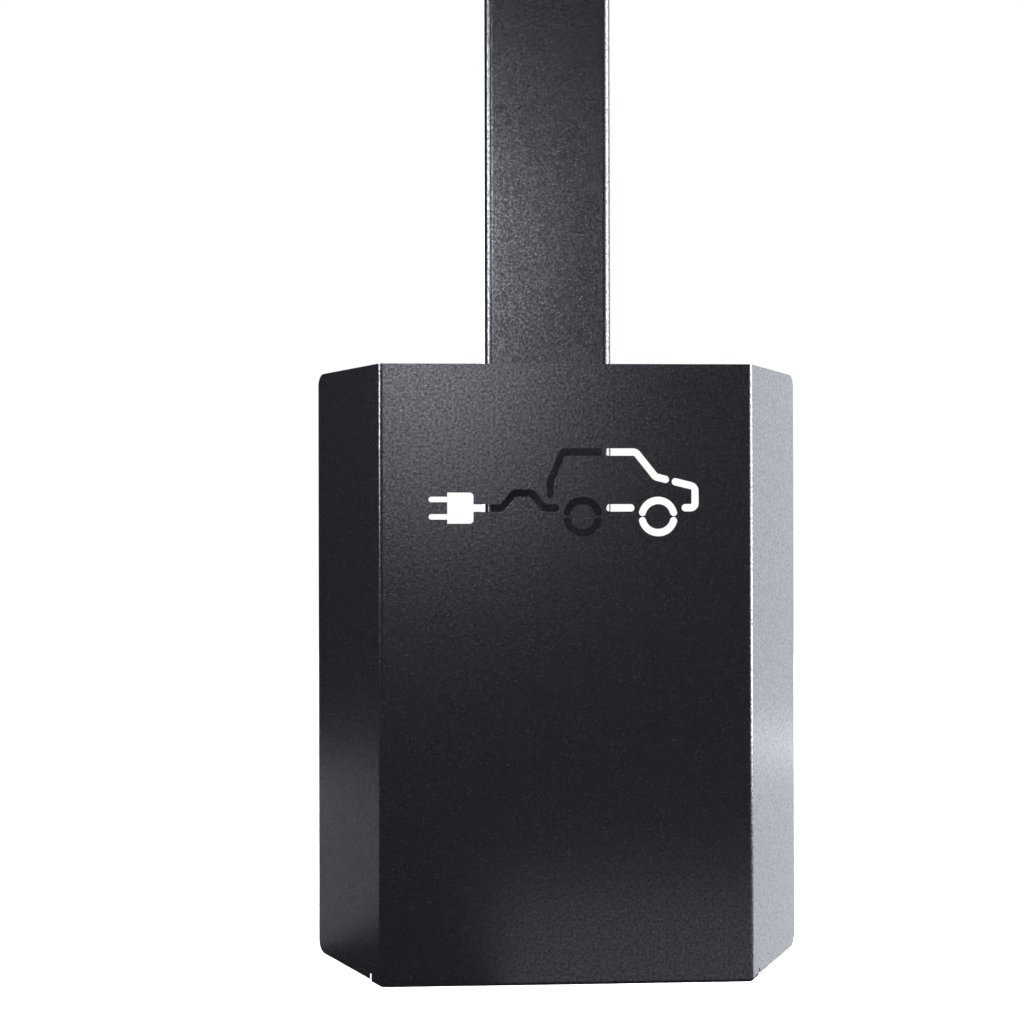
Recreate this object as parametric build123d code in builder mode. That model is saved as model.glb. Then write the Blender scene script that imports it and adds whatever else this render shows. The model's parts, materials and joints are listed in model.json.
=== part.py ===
from build123d import *
import math
import os

# An electric-vehicle charging post. A square steel column stands on a bolted foot, carries the
# charging outlet near its top and holds the switchgear behind a lockable door in its back. A short
# drum stands out of the column's front for winding the charging cable on, and a folded sheet-steel
# shield, pierced with a car-and-plug pictogram, is bolted to the drum's free end.
# +X is to the right of someone who faces the post, +Y is away from that person, and +Z is up.
# The origin is on the column's axis, on the ground. All sizes are in millimetres.

# ---- Driving dimensions -------------------------------------------------------------------------
column_width = 120
column_wall = 4
column_corner = 8
column_top = 1330
base_size = 240
base_thickness = 12
anchor_spacing = 180

shield_width = 300
shield_height = 500
shield_bottom = 45
shield_sheet = 2
shield_reach = 215
wing_length = 114
wing_angle = 60
bend_radius = 5

drum_diameter = 130
drum_wall = 3
drum_above_shield_bottom = 240

opening_width = 80
opening_bottom = 540
opening_top = 1200
door_overlap = 10
door_sheet = 2
gasket_thickness = 6

outlet_height = 1150
light_height = 1240
reader_height = 1278

terminal_row = 590
breaker_row = 730
meter_row = 870
control_row = 1010

# ---- Places that follow from them ---------------------------------------------------------------
face = column_width / 2
inner_face = face - column_wall
shield_front = -(face + shield_reach)
shield_back = shield_front + shield_sheet
drum_height = shield_bottom + drum_above_shield_bottom
drum_radius = drum_diameter / 2
opening_height = opening_top - opening_bottom
opening_middle = (opening_top + opening_bottom) / 2
door_width = opening_width + 2 * door_overlap
door_height = opening_height + 2 * door_overlap + 4
door_inside = face + gasket_thickness
door_outside = door_inside + door_sheet
hinge_x = -face + 2
hinge_y = door_inside
hinge_heights = [opening_bottom + 12, opening_top - 18]
hinge_screw_y = 46
rail_face = -inner_face + 7.5
rail_rows = [terminal_row, breaker_row, meter_row, control_row]

os.makedirs("parts", exist_ok=True)


def facing_front(y):
    """A sketch plane at that Y. Its X is the part's X, its Y is up, and it extrudes towards the front."""
    return Plane.XZ.offset(-y)


def facing_right(x):
    """A sketch plane at that X. Its X is the part's Y, its Y is up, and it extrudes towards the right."""
    return Plane.YZ.offset(x)


def keep(node, name):
    """Labels a finished piece and writes it as its own STEP file."""
    node.part.label = name
    export_step(node.part, f"parts/{name}.step")


def button_screw(diameter, length):
    """A button-head socket screw. It points down, with the underside of its head at Z = 0."""
    head_radius = 0.9 * diameter
    head_height = 0.55 * diameter
    with BuildPart() as screw:
        Cylinder(diameter / 2, length, align=(Align.CENTER, Align.CENTER, Align.MAX))
        Cylinder(head_radius, head_height, align=(Align.CENTER, Align.CENTER, Align.MIN))
        crown = screw.edges().filter_by(GeomType.CIRCLE).sort_by(Axis.Z)[-1]
        fillet(crown, radius=0.8 * head_height)
        with BuildSketch(Plane.XY.offset(head_height)):
            RegularPolygon(radius=0.33 * diameter, side_count=6)
        extrude(amount=-0.6 * head_height, mode=Mode.SUBTRACT)
    return screw.part


def flange_nut(diameter):
    """A hexagon flange nut that sits on Z = 0, bored a little wider than its stud."""
    with BuildPart() as nut:
        Cylinder(1.15 * diameter, 0.2 * diameter, align=(Align.CENTER, Align.CENTER, Align.MIN))
        with BuildSketch():
            RegularPolygon(radius=0.96 * diameter, side_count=6)
        extrude(amount=0.9 * diameter)
        Hole(diameter / 2 + 0.05)
    return nut.part


def wire(points, diameter, bend):
    """A round wire along straight runs joined by tangent arcs."""
    with BuildPart() as made:
        with BuildLine() as route:
            if len(points) > 2:
                FilletPolyline(*points, radius=bend)
            else:
                Line(*points)
        with BuildSketch(Plane(origin=route.line @ 0, z_dir=route.line % 0)):
            Circle(diameter / 2)
        sweep()
    return made.part


# ==== The foot and the column ====================================================================

# The foot: a thick steel plate with four anchor holes and a round hole for the supply duct.
anchor_radius = 7
duct_radius = 38
foot_corner = 15
with BuildPart() as base_plate:
    with BuildSketch():
        RectangleRounded(base_size, base_size, foot_corner)
    extrude(amount=base_thickness)
    chamfer(base_plate.faces().sort_by(Axis.Z)[-1].edges(), length=1.5)
    Hole(duct_radius)
    with GridLocations(anchor_spacing, anchor_spacing, 2, 2):
        Hole(anchor_radius)
keep(base_plate, "base_plate")

# Four triangular gussets that brace the column on the foot, one in the middle of each side.
gusset_thickness = 6
gusset_reach = 48
gusset_rise = 66
gusset_lip = 6
with BuildPart() as base_gussets:
    for quarter in range(4):
        turn = math.radians(90 * quarter)
        outward = (math.cos(turn), math.sin(turn), 0)
        with BuildSketch(Plane(origin=(0, 0, base_thickness), x_dir=outward,
                               z_dir=(math.sin(turn), -math.cos(turn), 0))):
            with BuildLine():
                Polyline((face, 0), (face + gusset_reach, 0), (face + gusset_reach, gusset_lip),
                         (face + gusset_lip, gusset_rise), (face, gusset_rise), close=True)
            make_face()
        extrude(amount=gusset_thickness / 2, both=True)
keep(base_gussets, "base_gussets")

# The column: square tube, open at both ends, with the door opening in its back and the holes for
# the drum's rivet nuts, the outlet, the status light and the card reader in its front.
back_plate_width = 112
back_plate_height = 190
back_plate_thickness = 5
drum_bolt_x = 38
drum_bolt_z = 78
rivet_nut_radius = 5.5
outlet_hole_radius = 34
outlet_screw_spacing = 66
light_length = 60
light_width = 8
reader_width = 64
reader_drop = 38
reader_corner = 6
with BuildPart() as column:
    with BuildSketch(Plane.XY.offset(base_thickness)):
        RectangleRounded(column_width, column_width, column_corner)
        RectangleRounded(2 * inner_face, 2 * inner_face, column_corner - column_wall, mode=Mode.SUBTRACT)
    extrude(amount=column_top - base_thickness)
    with BuildSketch(facing_front(face + 1)):
        with Locations((0, opening_middle)):
            RectangleRounded(opening_width, opening_height, 8)
    extrude(amount=column_wall + 2, mode=Mode.SUBTRACT)
    with BuildSketch(facing_front(-inner_face + 1)):
        with Locations((0, drum_height)):
            with GridLocations(2 * drum_bolt_x, 2 * drum_bolt_z, 2, 2):
                Circle(rivet_nut_radius + 0.05)
        with Locations((0, outlet_height)):
            Circle(outlet_hole_radius)
            with GridLocations(outlet_screw_spacing, outlet_screw_spacing, 2, 2):
                Circle(2.1)
        with Locations((0, light_height)):
            SlotOverall(light_length, light_width)
        with Locations((0, reader_height)):
            RectangleRounded(reader_width, reader_drop, reader_corner)
    extrude(amount=column_wall + 2, mode=Mode.SUBTRACT)
    with BuildSketch(facing_right(-face - 1)):
        for height in hinge_heights:
            with Locations((hinge_screw_y, height - 5), (hinge_screw_y, height - 20)):
                Circle(2.5)
    extrude(amount=column_wall + 2, mode=Mode.SUBTRACT)
keep(column, "column")

# The moulded cap that closes the column's top, with a skirt that plugs into the tube.
cap_height = 8
cap_skirt = 22
cap_skirt_wall = 3
with BuildPart() as top_cap:
    with BuildSketch(Plane.XY.offset(column_top)):
        RectangleRounded(column_width, column_width, column_corner)
    extrude(amount=cap_height)
    fillet(top_cap.faces().sort_by(Axis.Z)[-1].edges(), radius=4)
    with BuildSketch(Plane.XY.offset(column_top)):
        RectangleRounded(2 * inner_face - 1, 2 * inner_face - 1, 3.5)
        RectangleRounded(2 * (inner_face - cap_skirt_wall) - 1, 2 * (inner_face - cap_skirt_wall) - 1, 2,
                         mode=Mode.SUBTRACT)
    extrude(amount=-cap_skirt)
keep(top_cap, "top_cap")

# ==== The cable drum =============================================================================

# The plate that carries the drum, bolted flat on the column's front.
with BuildPart() as drum_back_plate:
    with BuildSketch(facing_front(-face)):
        with Locations((0, drum_height)):
            RectangleRounded(back_plate_width, back_plate_height, 10)
            with GridLocations(2 * drum_bolt_x, 2 * drum_bolt_z, 2, 2):
                Circle(4.5, mode=Mode.SUBTRACT)
    extrude(amount=back_plate_thickness)
keep(drum_back_plate, "drum_back_plate")

# The rivet nuts set in the column's wall, and the screws that hold the plate to them.
drum_bolts = [(x, -face, drum_height + z)
              for x in (-drum_bolt_x, drum_bolt_x) for z in (-drum_bolt_z, drum_bolt_z)]
with BuildPart() as drum_rivet_nuts:
    for x, y, z in drum_bolts:
        with BuildSketch(facing_front(y)):
            with Locations((x, z)):
                Circle(rivet_nut_radius)
                Circle(4, mode=Mode.SUBTRACT)
        extrude(amount=-15)
keep(drum_rivet_nuts, "drum_rivet_nuts")

with BuildPart() as drum_plate_screws:
    for x, y, z in drum_bolts:
        with Locations(Plane(origin=(x, y - back_plate_thickness, z), z_dir=(0, -1, 0)).location):
            add(button_screw(7.9, 16))
keep(drum_plate_screws, "drum_plate_screws")

# The drum itself: rolled tube welded to the plate, with four holes for the shield's screws.
drum_start = -(face + back_plate_thickness)
drum_end = shield_back + 0.5
drum_screw_y = shield_back + 18
drum_screw_angles = [45 + 90 * n for n in range(4)]
with BuildPart() as drum_shell:
    with BuildSketch(facing_front(drum_start)):
        with Locations((0, drum_height)):
            Circle(drum_radius)
            Circle(drum_radius - drum_wall, mode=Mode.SUBTRACT)
    extrude(amount=drum_start - drum_end)
    for angle in drum_screw_angles:
        outward = (math.cos(math.radians(angle)), 0, math.sin(math.radians(angle)))
        with BuildSketch(Plane(origin=(0, drum_screw_y, drum_height), z_dir=outward)):
            Circle(2.75)
        extrude(amount=drum_diameter, mode=Mode.SUBTRACT)
keep(drum_shell, "drum_shell")

# The dished disc that is bolted behind the shield and slips into the drum's open end.
disc_radius = drum_radius - drum_wall - 0.2
disc_depth = 30
disc_sheet = 3
stud_circle = 40
with BuildPart() as drum_front_disc:
    with BuildSketch(facing_front(shield_back + disc_depth)):
        with Locations((0, drum_height)):
            Circle(disc_radius)
            Circle(disc_radius - disc_sheet, mode=Mode.SUBTRACT)
    extrude(amount=disc_depth)
    with BuildSketch(facing_front(shield_back + disc_sheet)):
        with Locations((0, drum_height)):
            Circle(disc_radius)
            with PolarLocations(stud_circle, 4):
                Circle(3.3, mode=Mode.SUBTRACT)
    extrude(amount=disc_sheet)
    for angle in drum_screw_angles:
        outward = (math.cos(math.radians(angle)), 0, math.sin(math.radians(angle)))
        with BuildSketch(Plane(origin=(0, drum_screw_y, drum_height), z_dir=outward)):
            Circle(2.5)
        extrude(amount=drum_diameter, mode=Mode.SUBTRACT)
keep(drum_front_disc, "drum_front_disc")

with BuildPart() as drum_disc_screws:
    for angle in drum_screw_angles:
        outward = Vector(math.cos(math.radians(angle)), 0, math.sin(math.radians(angle)))
        seat = Vector(0, drum_screw_y, drum_height) + outward * drum_radius
        with Locations(Plane(origin=seat, z_dir=outward).location):
            add(button_screw(4.9, 9))
keep(drum_disc_screws, "drum_disc_screws")

# ==== The shield =================================================================================

# One sheet folded into a front and two wings that slope back, with a stiffening lip along its foot.
# The wings' lower edges are cut back a little, and a slit relieves each corner of the lip.
slope = math.radians(wing_angle)
half = shield_width / 2
wing_out = wing_length * math.cos(slope)
wing_back = wing_length * math.sin(slope)
inner_half = half - shield_sheet * math.tan(slope / 2)
wing_thickness = (shield_sheet * math.sin(slope), shield_sheet * math.cos(slope))
tab_out = 8
wing_lift = 3
slit_height = 8
lip_depth = 30
lip_bend = 4
rear_corner = 10
outer_line = [(-half - wing_out, shield_front + wing_back), (-half, shield_front),
              (half, shield_front), (half + wing_out, shield_front + wing_back)]
inner_line = [(-half - wing_out + wing_thickness[0], shield_front + wing_back + wing_thickness[1]),
              (-inner_half, shield_back), (inner_half, shield_back),
              (half + wing_out - wing_thickness[0], shield_front + wing_back + wing_thickness[1])]

# The pictogram's places, across from the shield's middle and up from its foot.
stroke = 6
cord_level = 384
plug_left = -111
sill_level = 384
wheel_radius = 13
wheel_level = 377
wheel_rear = 13
wheel_front = 74


# The pictogram: broken lines, so that each enclosed patch of the sheet keeps its bridges, and a plug
# with rounded shoulders, two prongs and the start of its cord.
arch = wheel_radius + stroke + 3
strokes = [
    [(plug_left + 36, cord_level), (-52, cord_level), (-42, cord_level + 12), (-28, cord_level + 12),
     (-18, cord_level), (wheel_rear - arch, cord_level)],
    [(-13, cord_level + 11), (-13, 405), (-3, 429), (26, 429)],
    [(34, 429), (56, 429), (72, 409), (80, 407)],
    [(88, 405), (104, 401), (104, sill_level), (wheel_front + arch, sill_level)],
    [(wheel_rear + arch, sill_level), (wheel_front - arch, sill_level)],
]
pictogram_plane = Plane(origin=(0, shield_back + 1, shield_bottom), z_dir=(0, -1, 0), x_dir=(1, 0, 0))
with BuildSketch(pictogram_plane) as pictogram:
    for points in strokes:
        with BuildLine():
            if len(points) > 2:
                FilletPolyline(*points, radius=4)
            else:
                Line(*points)
            offset(amount=stroke / 2)
        make_face()
    for wheel in (wheel_rear, wheel_front):
        for start in (15, 195):
            with BuildLine():
                CenterArc((wheel, wheel_level), wheel_radius, start, 150)
                offset(amount=stroke / 2)
            make_face()
    with Locations((plug_left + 15, cord_level)):
        RectangleRounded(21, 25, 3, align=(Align.MIN, Align.CENTER))
        Rectangle(8, 25, align=(Align.MIN, Align.CENTER))
    for prong in (-7, 7):
        with Locations((plug_left, cord_level + prong)):
            SlotOverall(20, 4.4, align=(Align.MIN, Align.CENTER))
    with Locations((plug_left + 33, cord_level)):
        Rectangle(6, stroke, align=(Align.MIN, Align.CENTER))

with BuildPart() as shield:
    with BuildSketch(Plane.XY.offset(shield_bottom)):
        with BuildLine():
            outside = FilletPolyline(*outer_line, radius=bend_radius)
            inside = FilletPolyline(*inner_line, radius=bend_radius - shield_sheet)
            Line(outside @ 0, inside @ 0)
            Line(outside @ 1, inside @ 1)
        make_face()
    extrude(amount=shield_height)
    with BuildSketch(Plane.XY.offset(shield_bottom)):
        with BuildLine():
            tab_back = shield_front + tab_out * math.tan(slope)
            Polyline((-half - tab_out + 1, tab_back), (-half + 1, shield_front + 1),
                     (half - 1, shield_front + 1), (half + tab_out - 1, tab_back),
                     (half - 8, shield_front + lip_depth), (-half + 8, shield_front + lip_depth), close=True)
        make_face()
    extrude(amount=shield_sheet)
    inner_corner = shield.edges().filter_by(Axis.X).filter_by(
        lambda edge: abs(edge.center().Y - shield_back) < 0.01 and edge.center().Z < shield_bottom + 3)
    fillet(inner_corner, radius=lip_bend - shield_sheet)
    for side in (-1, 1):
        with BuildSketch(Plane.XY.offset(shield_bottom)):
            with Locations((side * (half + tab_out + 50), shield_front + 50)):
                Rectangle(100, 120)
        extrude(amount=wing_lift, mode=Mode.SUBTRACT)
        with BuildSketch(Plane.XY.offset(shield_bottom)):
            with Locations((side * (half + tab_out + 0.5), shield_front + 15)):
                Rectangle(1, 20)
        extrude(amount=slit_height, mode=Mode.SUBTRACT)
    outer_corner = shield.edges().filter_by(
        lambda edge: edge.center().Z < shield_bottom + 0.01
        and edge.center().Y < shield_front + tab_out * math.tan(slope) * 0.8)
    fillet(outer_corner, radius=lip_bend)
    rear_edges = shield.edges().filter_by(
        lambda edge: abs(edge.length - shield_sheet) < 0.01
        and edge.center().Y > shield_front + wing_back - 1)
    fillet(rear_edges, radius=rear_corner)
    extrude(pictogram.sketch, amount=shield_sheet + 2, mode=Mode.SUBTRACT)
keep(shield, "shield")

# The weld studs on the shield's back, and the nuts that hold it to the dished disc.
stud_places = [(stud_circle * math.cos(turn), drum_height + stud_circle * math.sin(turn))
               for turn in (0, math.pi / 2, math.pi, 3 * math.pi / 2)]
with BuildPart() as shield_studs:
    with BuildSketch(facing_front(shield_back)):
        with Locations(*stud_places):
            Circle(3)
    extrude(amount=-14)
keep(shield_studs, "shield_studs")

with BuildPart() as shield_nuts:
    for x, z in stud_places:
        with Locations(Plane(origin=(x, shield_back + disc_sheet, z), z_dir=(0, 1, 0)).location):
            add(flange_nut(6))
keep(shield_nuts, "shield_nuts")

# ==== The service door ===========================================================================

# A shallow pan of folded sheet that covers the opening in the column's back.
lock_x = 30
lock_height = opening_middle
lock_barrel_radius = 8
door_screw_x = -38
door_lip = gasket_thickness - 0.8
with BuildPart() as service_door:
    with BuildSketch(facing_front(door_inside)):
        with Locations((0, opening_middle)):
            RectangleRounded(door_width, door_height, 5)
    extrude(amount=-door_sheet)
    with BuildSketch(facing_front(door_inside)):
        with Locations((0, opening_middle)):
            RectangleRounded(door_width, door_height, 5)
            RectangleRounded(door_width - 2 * door_sheet, door_height - 2 * door_sheet, 3, mode=Mode.SUBTRACT)
    extrude(amount=door_lip)
    fillet(service_door.faces().sort_by(Axis.Y)[-1].edges(), radius=1.5)
    with BuildSketch(facing_front(door_outside + 1)):
        with Locations((lock_x, lock_height)):
            Circle(lock_barrel_radius)
        for height in hinge_heights:
            with Locations((door_screw_x, height + 6), (door_screw_x, height + 21)):
                Circle(2.5)
    extrude(amount=door_sheet + 2, mode=Mode.SUBTRACT)
keep(service_door, "service_door")

# The foam gasket glued round the inside of the door.
gasket_width = 6
gasket_gap = 0.3
with BuildPart() as door_gasket:
    with BuildSketch(facing_front(door_inside)):
        with Locations((0, opening_middle)):
            RectangleRounded(opening_width + 2 + 2 * gasket_width, opening_height + 2 + 2 * gasket_width, 12)
            RectangleRounded(opening_width + 2, opening_height + 2, 7, mode=Mode.SUBTRACT)
    extrude(amount=gasket_thickness - gasket_gap)
keep(door_gasket, "door_gasket")

# Two lift-off hinges. The lower knuckle and its leaf are on the column's side, the upper ones on the door.
knuckle_radius = 5
knuckle_length = 25
leaf_thickness = 3
pin_radius = 2.5
washer_thickness = 1
running_gap = 0.05
with BuildPart() as hinge_column_leaves:
    for height in hinge_heights:
        with BuildSketch(Plane.XY.offset(height - knuckle_length)):
            with Locations((hinge_x, hinge_y)):
                Circle(knuckle_radius)
            with Locations((-face - leaf_thickness, hinge_y)):
                Rectangle(leaf_thickness, hinge_y - hinge_screw_y + 8, align=(Align.MIN, Align.MAX))
            with Locations((hinge_x, hinge_y)):
                Circle(pin_radius, mode=Mode.SUBTRACT)
        extrude(amount=knuckle_length)
    with BuildSketch(facing_right(-face - leaf_thickness - 1)):
        for height in hinge_heights:
            with Locations((hinge_screw_y, height - 5), (hinge_screw_y, height - 20)):
                Circle(2.5)
    extrude(amount=leaf_thickness + 2, mode=Mode.SUBTRACT)
keep(hinge_column_leaves, "hinge_column_leaves")

with BuildPart() as hinge_door_leaves:
    for height in hinge_heights:
        with BuildSketch(Plane.XY.offset(height + washer_thickness + running_gap)):
            with Locations((hinge_x, hinge_y)):
                Circle(knuckle_radius)
            with Locations((hinge_x, door_outside + leaf_thickness)):
                Rectangle(door_screw_x - hinge_x + 8, leaf_thickness, align=(Align.MIN, Align.MAX))
            with Locations((hinge_x, hinge_y)):
                Circle(pin_radius + running_gap, mode=Mode.SUBTRACT)
        extrude(amount=knuckle_length)
    with BuildSketch(facing_front(door_outside + leaf_thickness + 1)):
        for height in hinge_heights:
            with Locations((door_screw_x, height + 6), (door_screw_x, height + 21)):
                Circle(2.5)
    extrude(amount=leaf_thickness + 2, mode=Mode.SUBTRACT)
keep(hinge_door_leaves, "hinge_door_leaves")

with BuildPart() as hinge_pins:
    for height in hinge_heights:
        with BuildSketch(Plane.XY.offset(height - knuckle_length)):
            with Locations((hinge_x, hinge_y)):
                Circle(pin_radius)
        extrude(amount=2 * knuckle_length - 1)
keep(hinge_pins, "hinge_pins")

with BuildPart() as hinge_washers:
    for height in hinge_heights:
        with BuildSketch(Plane.XY.offset(height)):
            with Locations((hinge_x, hinge_y)):
                Circle(knuckle_radius)
                Circle(pin_radius, mode=Mode.SUBTRACT)
        extrude(amount=washer_thickness)
keep(hinge_washers, "hinge_washers")

with BuildPart() as hinge_column_screws:
    for height in hinge_heights:
        for drop in (5, 20):
            with Locations(Plane(origin=(-face - leaf_thickness, hinge_screw_y, height - drop),
                                 z_dir=(-1, 0, 0)).location):
                add(button_screw(5, 10))
keep(hinge_column_screws, "hinge_column_screws")

with BuildPart() as hinge_door_screws:
    for height in hinge_heights:
        for rise in (6, 21):
            with Locations(Plane(origin=(door_screw_x, door_outside + leaf_thickness, height + rise),
                                 z_dir=(0, 1, 0)).location):
                add(button_screw(5, 5))
keep(hinge_door_screws, "hinge_door_screws")

# The cam lock: a housing through the door, and a turning core that carries the cam behind the wall.
core_radius = 5
cam_back = inner_face - 1.5
cam_thickness = 2.5
cam_reach = 18
with BuildPart() as lock_housing:
    with BuildSketch(facing_front(cam_back + 0.3)):
        with Locations((lock_x, lock_height)):
            Circle(lock_barrel_radius)
    extrude(amount=-(door_outside - cam_back))
    with BuildSketch(facing_front(door_outside)):
        with Locations((lock_x, lock_height)):
            Circle(lock_barrel_radius + 3)
    extrude(amount=-2.5)
    fillet(lock_housing.edges().filter_by(GeomType.CIRCLE).sort_by(Axis.Y)[-1], radius=1)
    with BuildSketch(facing_front(door_outside + 4)):
        with Locations((lock_x, lock_height)):
            Circle(core_radius + running_gap)
    extrude(amount=40, mode=Mode.SUBTRACT)
keep(lock_housing, "lock_housing")

with BuildPart() as lock_core:
    with BuildSketch(facing_front(cam_back)):
        with Locations((lock_x, lock_height)):
            Circle(core_radius)
    extrude(amount=-(door_outside + 2 - cam_back))
    with BuildSketch(facing_front(door_outside + 2)):
        with Locations((lock_x, lock_height)):
            RegularPolygon(radius=3.4, side_count=3)
    extrude(amount=6, mode=Mode.SUBTRACT)
    with BuildSketch(facing_front(cam_back)):
        with Locations((lock_x, lock_height)):
            Circle(6)
            Rectangle(12, cam_reach, align=(Align.CENTER, Align.MAX))
    extrude(amount=cam_thickness)
keep(lock_core, "lock_core")

# ==== The switchgear =============================================================================

# Four top-hat rails on short studs welded inside the column's front wall.
rail_length = 100
rail_sheet = 1
rail_stud_x = 42
with BuildPart() as din_rails:
    with BuildSketch(facing_right(-rail_length / 2)):
        for row in rail_rows:
            with Locations((-inner_face + rail_sheet / 2, row)):
                Rectangle(rail_sheet, 27)
            with Locations((-inner_face + 3.75, row - 13), (-inner_face + 3.75, row + 13)):
                Rectangle(7.5, rail_sheet)
            with Locations((rail_face - rail_sheet / 2, row - 15), (rail_face - rail_sheet / 2, row + 15)):
                Rectangle(rail_sheet, 5)
    extrude(amount=rail_length)
    with BuildSketch(facing_front(0)):
        for row in rail_rows:
            with Locations((-rail_stud_x, row), (rail_stud_x, row)):
                Circle(2.6)
    extrude(amount=column_width, mode=Mode.SUBTRACT)
keep(din_rails, "din_rails")

device_height = 90
device_shoulder = 44
device_depth = 62
nose_height = 45
hook = 3
rail_half = 17.6
wire_y = rail_face + 26
wire_radius = 2.3
pocket_depth = 8


def rail_device(middle, row, width, height, poles):
    """A housing that clips on a rail: stepped, with a wire pocket and a clamp screw's well at each pole."""
    low = -height / 2
    nose = min(nose_height, height - 20) / 2
    with BuildPart() as device:
        side = Plane(origin=(middle - width / 2, rail_face, row), x_dir=(0, 1, 0), z_dir=(1, 0, 0))
        with BuildSketch(side):
            with BuildLine():
                Polyline((-hook, low), (device_shoulder, low), (device_shoulder, -nose),
                         (device_depth, -nose), (device_depth, nose), (device_shoulder, nose),
                         (device_shoulder, -low), (-hook, -low), (-hook, rail_half), (0, rail_half),
                         (0, -rail_half), (-hook, -rail_half), close=True)
            make_face()
        extrude(amount=width)
        shoulders = device.edges().filter_by(Axis.X).filter_by(lambda edge: edge.center().Y > 0)
        chamfer(shoulders.group_by(Axis.Y)[-1], length=1)
        for pole in poles:
            for end in (-1, 1):
                with BuildSketch(Plane(origin=(pole, wire_y, row + end * height / 2), z_dir=(0, 0, -end))):
                    Circle(wire_radius + 1)
                extrude(amount=pocket_depth, mode=Mode.SUBTRACT)
                with BuildSketch(facing_front(rail_face + device_shoulder)):
                    with Locations((pole, row + end * (height / 2 - 9))):
                        Circle(3)
                extrude(amount=10, mode=Mode.SUBTRACT)
    return device.part


# Supply terminals for the three phases, the neutral and the earth, between two end stops.
terminal_width = 11.6
terminal_height = 56
phase_terminals = [-24, -12, 0]
neutral_terminal_x = 12
earth_terminal_x = 24
with BuildPart() as phase_terminal_blocks:
    for x in phase_terminals:
        add(rail_device(x, terminal_row, terminal_width, terminal_height, [x]))
keep(phase_terminal_blocks, "phase_terminal_blocks")

with BuildPart() as neutral_terminal_block:
    add(rail_device(neutral_terminal_x, terminal_row, terminal_width, terminal_height, [neutral_terminal_x]))
keep(neutral_terminal_block, "neutral_terminal_block")

with BuildPart() as earth_terminal_block:
    add(rail_device(earth_terminal_x, terminal_row, terminal_width, terminal_height, [earth_terminal_x]))
keep(earth_terminal_block, "earth_terminal_block")

with BuildPart() as end_stops:
    for x in (phase_terminals[0] - 11, earth_terminal_x + 11):
        add(rail_device(x, terminal_row, 9, 46, []))
keep(end_stops, "end_stops")

# The four-pole residual-current breaker, with a toggle that rocks in a slot in its nose.
wide_device = 71.6
wide_poles = [-27, -9, 9, 27]
toggle_y = rail_face + device_depth - 5.5
toggle_radius = 6
toggle_pivot_radius = 2
with BuildPart() as breaker:
    add(rail_device(0, breaker_row, wide_device, device_height, wide_poles))
    with BuildSketch(facing_front(toggle_y - 7)):
        with Locations((0, breaker_row)):
            Rectangle(30, 15)
    extrude(amount=-20, mode=Mode.SUBTRACT)
    with BuildSketch(facing_right(-18)):
        with Locations((toggle_y, breaker_row)):
            Circle(toggle_pivot_radius + running_gap)
    extrude(amount=36, mode=Mode.SUBTRACT)
keep(breaker, "breaker")

toggle_tilt = 30
with BuildPart() as breaker_toggle:
    with BuildSketch(facing_right(-14.5)):
        with Locations((toggle_y, breaker_row)):
            Circle(toggle_radius)
    extrude(amount=29)
    with BuildSketch(facing_right(-17.5)):
        with Locations((toggle_y, breaker_row)):
            Circle(toggle_pivot_radius)
    extrude(amount=35)
    lever = (0, math.cos(math.radians(toggle_tilt)), math.sin(math.radians(toggle_tilt)))
    with BuildSketch(Plane(origin=(-12, toggle_y, breaker_row), z_dir=(1, 0, 0), x_dir=lever)):
        RectangleRounded(16, 4, 1, align=(Align.MIN, Align.CENTER))
    extrude(amount=24)
keep(breaker_toggle, "breaker_toggle")

# The energy meter, with a clear display window let into its nose.
display_width = 46
display_height = 18
with BuildPart() as energy_meter:
    add(rail_device(0, meter_row, wide_device, device_height, wide_poles))
    with BuildSketch(facing_front(rail_face + device_depth - 1.5)):
        with Locations((0, meter_row + 5)):
            RectangleRounded(display_width, display_height, 2)
    extrude(amount=-5, mode=Mode.SUBTRACT)
keep(energy_meter, "energy_meter")

with BuildPart() as meter_window:
    with BuildSketch(facing_front(rail_face + device_depth - 1.5)):
        with Locations((0, meter_row + 5)):
            RectangleRounded(display_width - 0.4, display_height - 0.4, 1.8)
    extrude(amount=-1.3)
keep(meter_window, "meter_window")

# The contactor on the left and the charge controller on the right of the top rail.
contactor_middle = -18.2
controller_middle = 18.2
narrow_device = 35.6
contactor_poles = [contactor_middle + offset for offset in (-13.5, -4.5, 4.5, 13.5)]
with BuildPart() as contactor:
    add(rail_device(contactor_middle, control_row, narrow_device, device_height, contactor_poles))
keep(contactor, "contactor")

with BuildPart() as charge_controller:
    add(rail_device(controller_middle, control_row, narrow_device, device_height, []))
    with BuildSketch(facing_front(rail_face + device_depth - 1)):
        with Locations((controller_middle - 8, control_row + 14), (controller_middle, control_row + 14),
                       (controller_middle + 8, control_row + 14)):
            Circle(1.5)
    extrude(amount=-5, mode=Mode.SUBTRACT)
keep(charge_controller, "charge_controller")

# The plug-in connectors on the controller's two shoulders, each with a row of clamp screws.
connector_ways = 5
connector_pitch = 5
with BuildPart() as controller_connectors:
    for end in (-1, 1):
        with BuildSketch(facing_front(rail_face + device_shoulder)):
            with Locations((controller_middle, control_row + end * 35)):
                RectangleRounded(connector_ways * connector_pitch + 3, 14, 1)
        extrude(amount=-11)
        with BuildSketch(facing_front(rail_face + device_shoulder + 9)):
            with Locations((controller_middle, control_row + end * 35)):
                with GridLocations(connector_pitch, 1, connector_ways, 1):
                    Circle(1.7)
        extrude(amount=-5, mode=Mode.SUBTRACT)
keep(controller_connectors, "controller_connectors")

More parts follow.
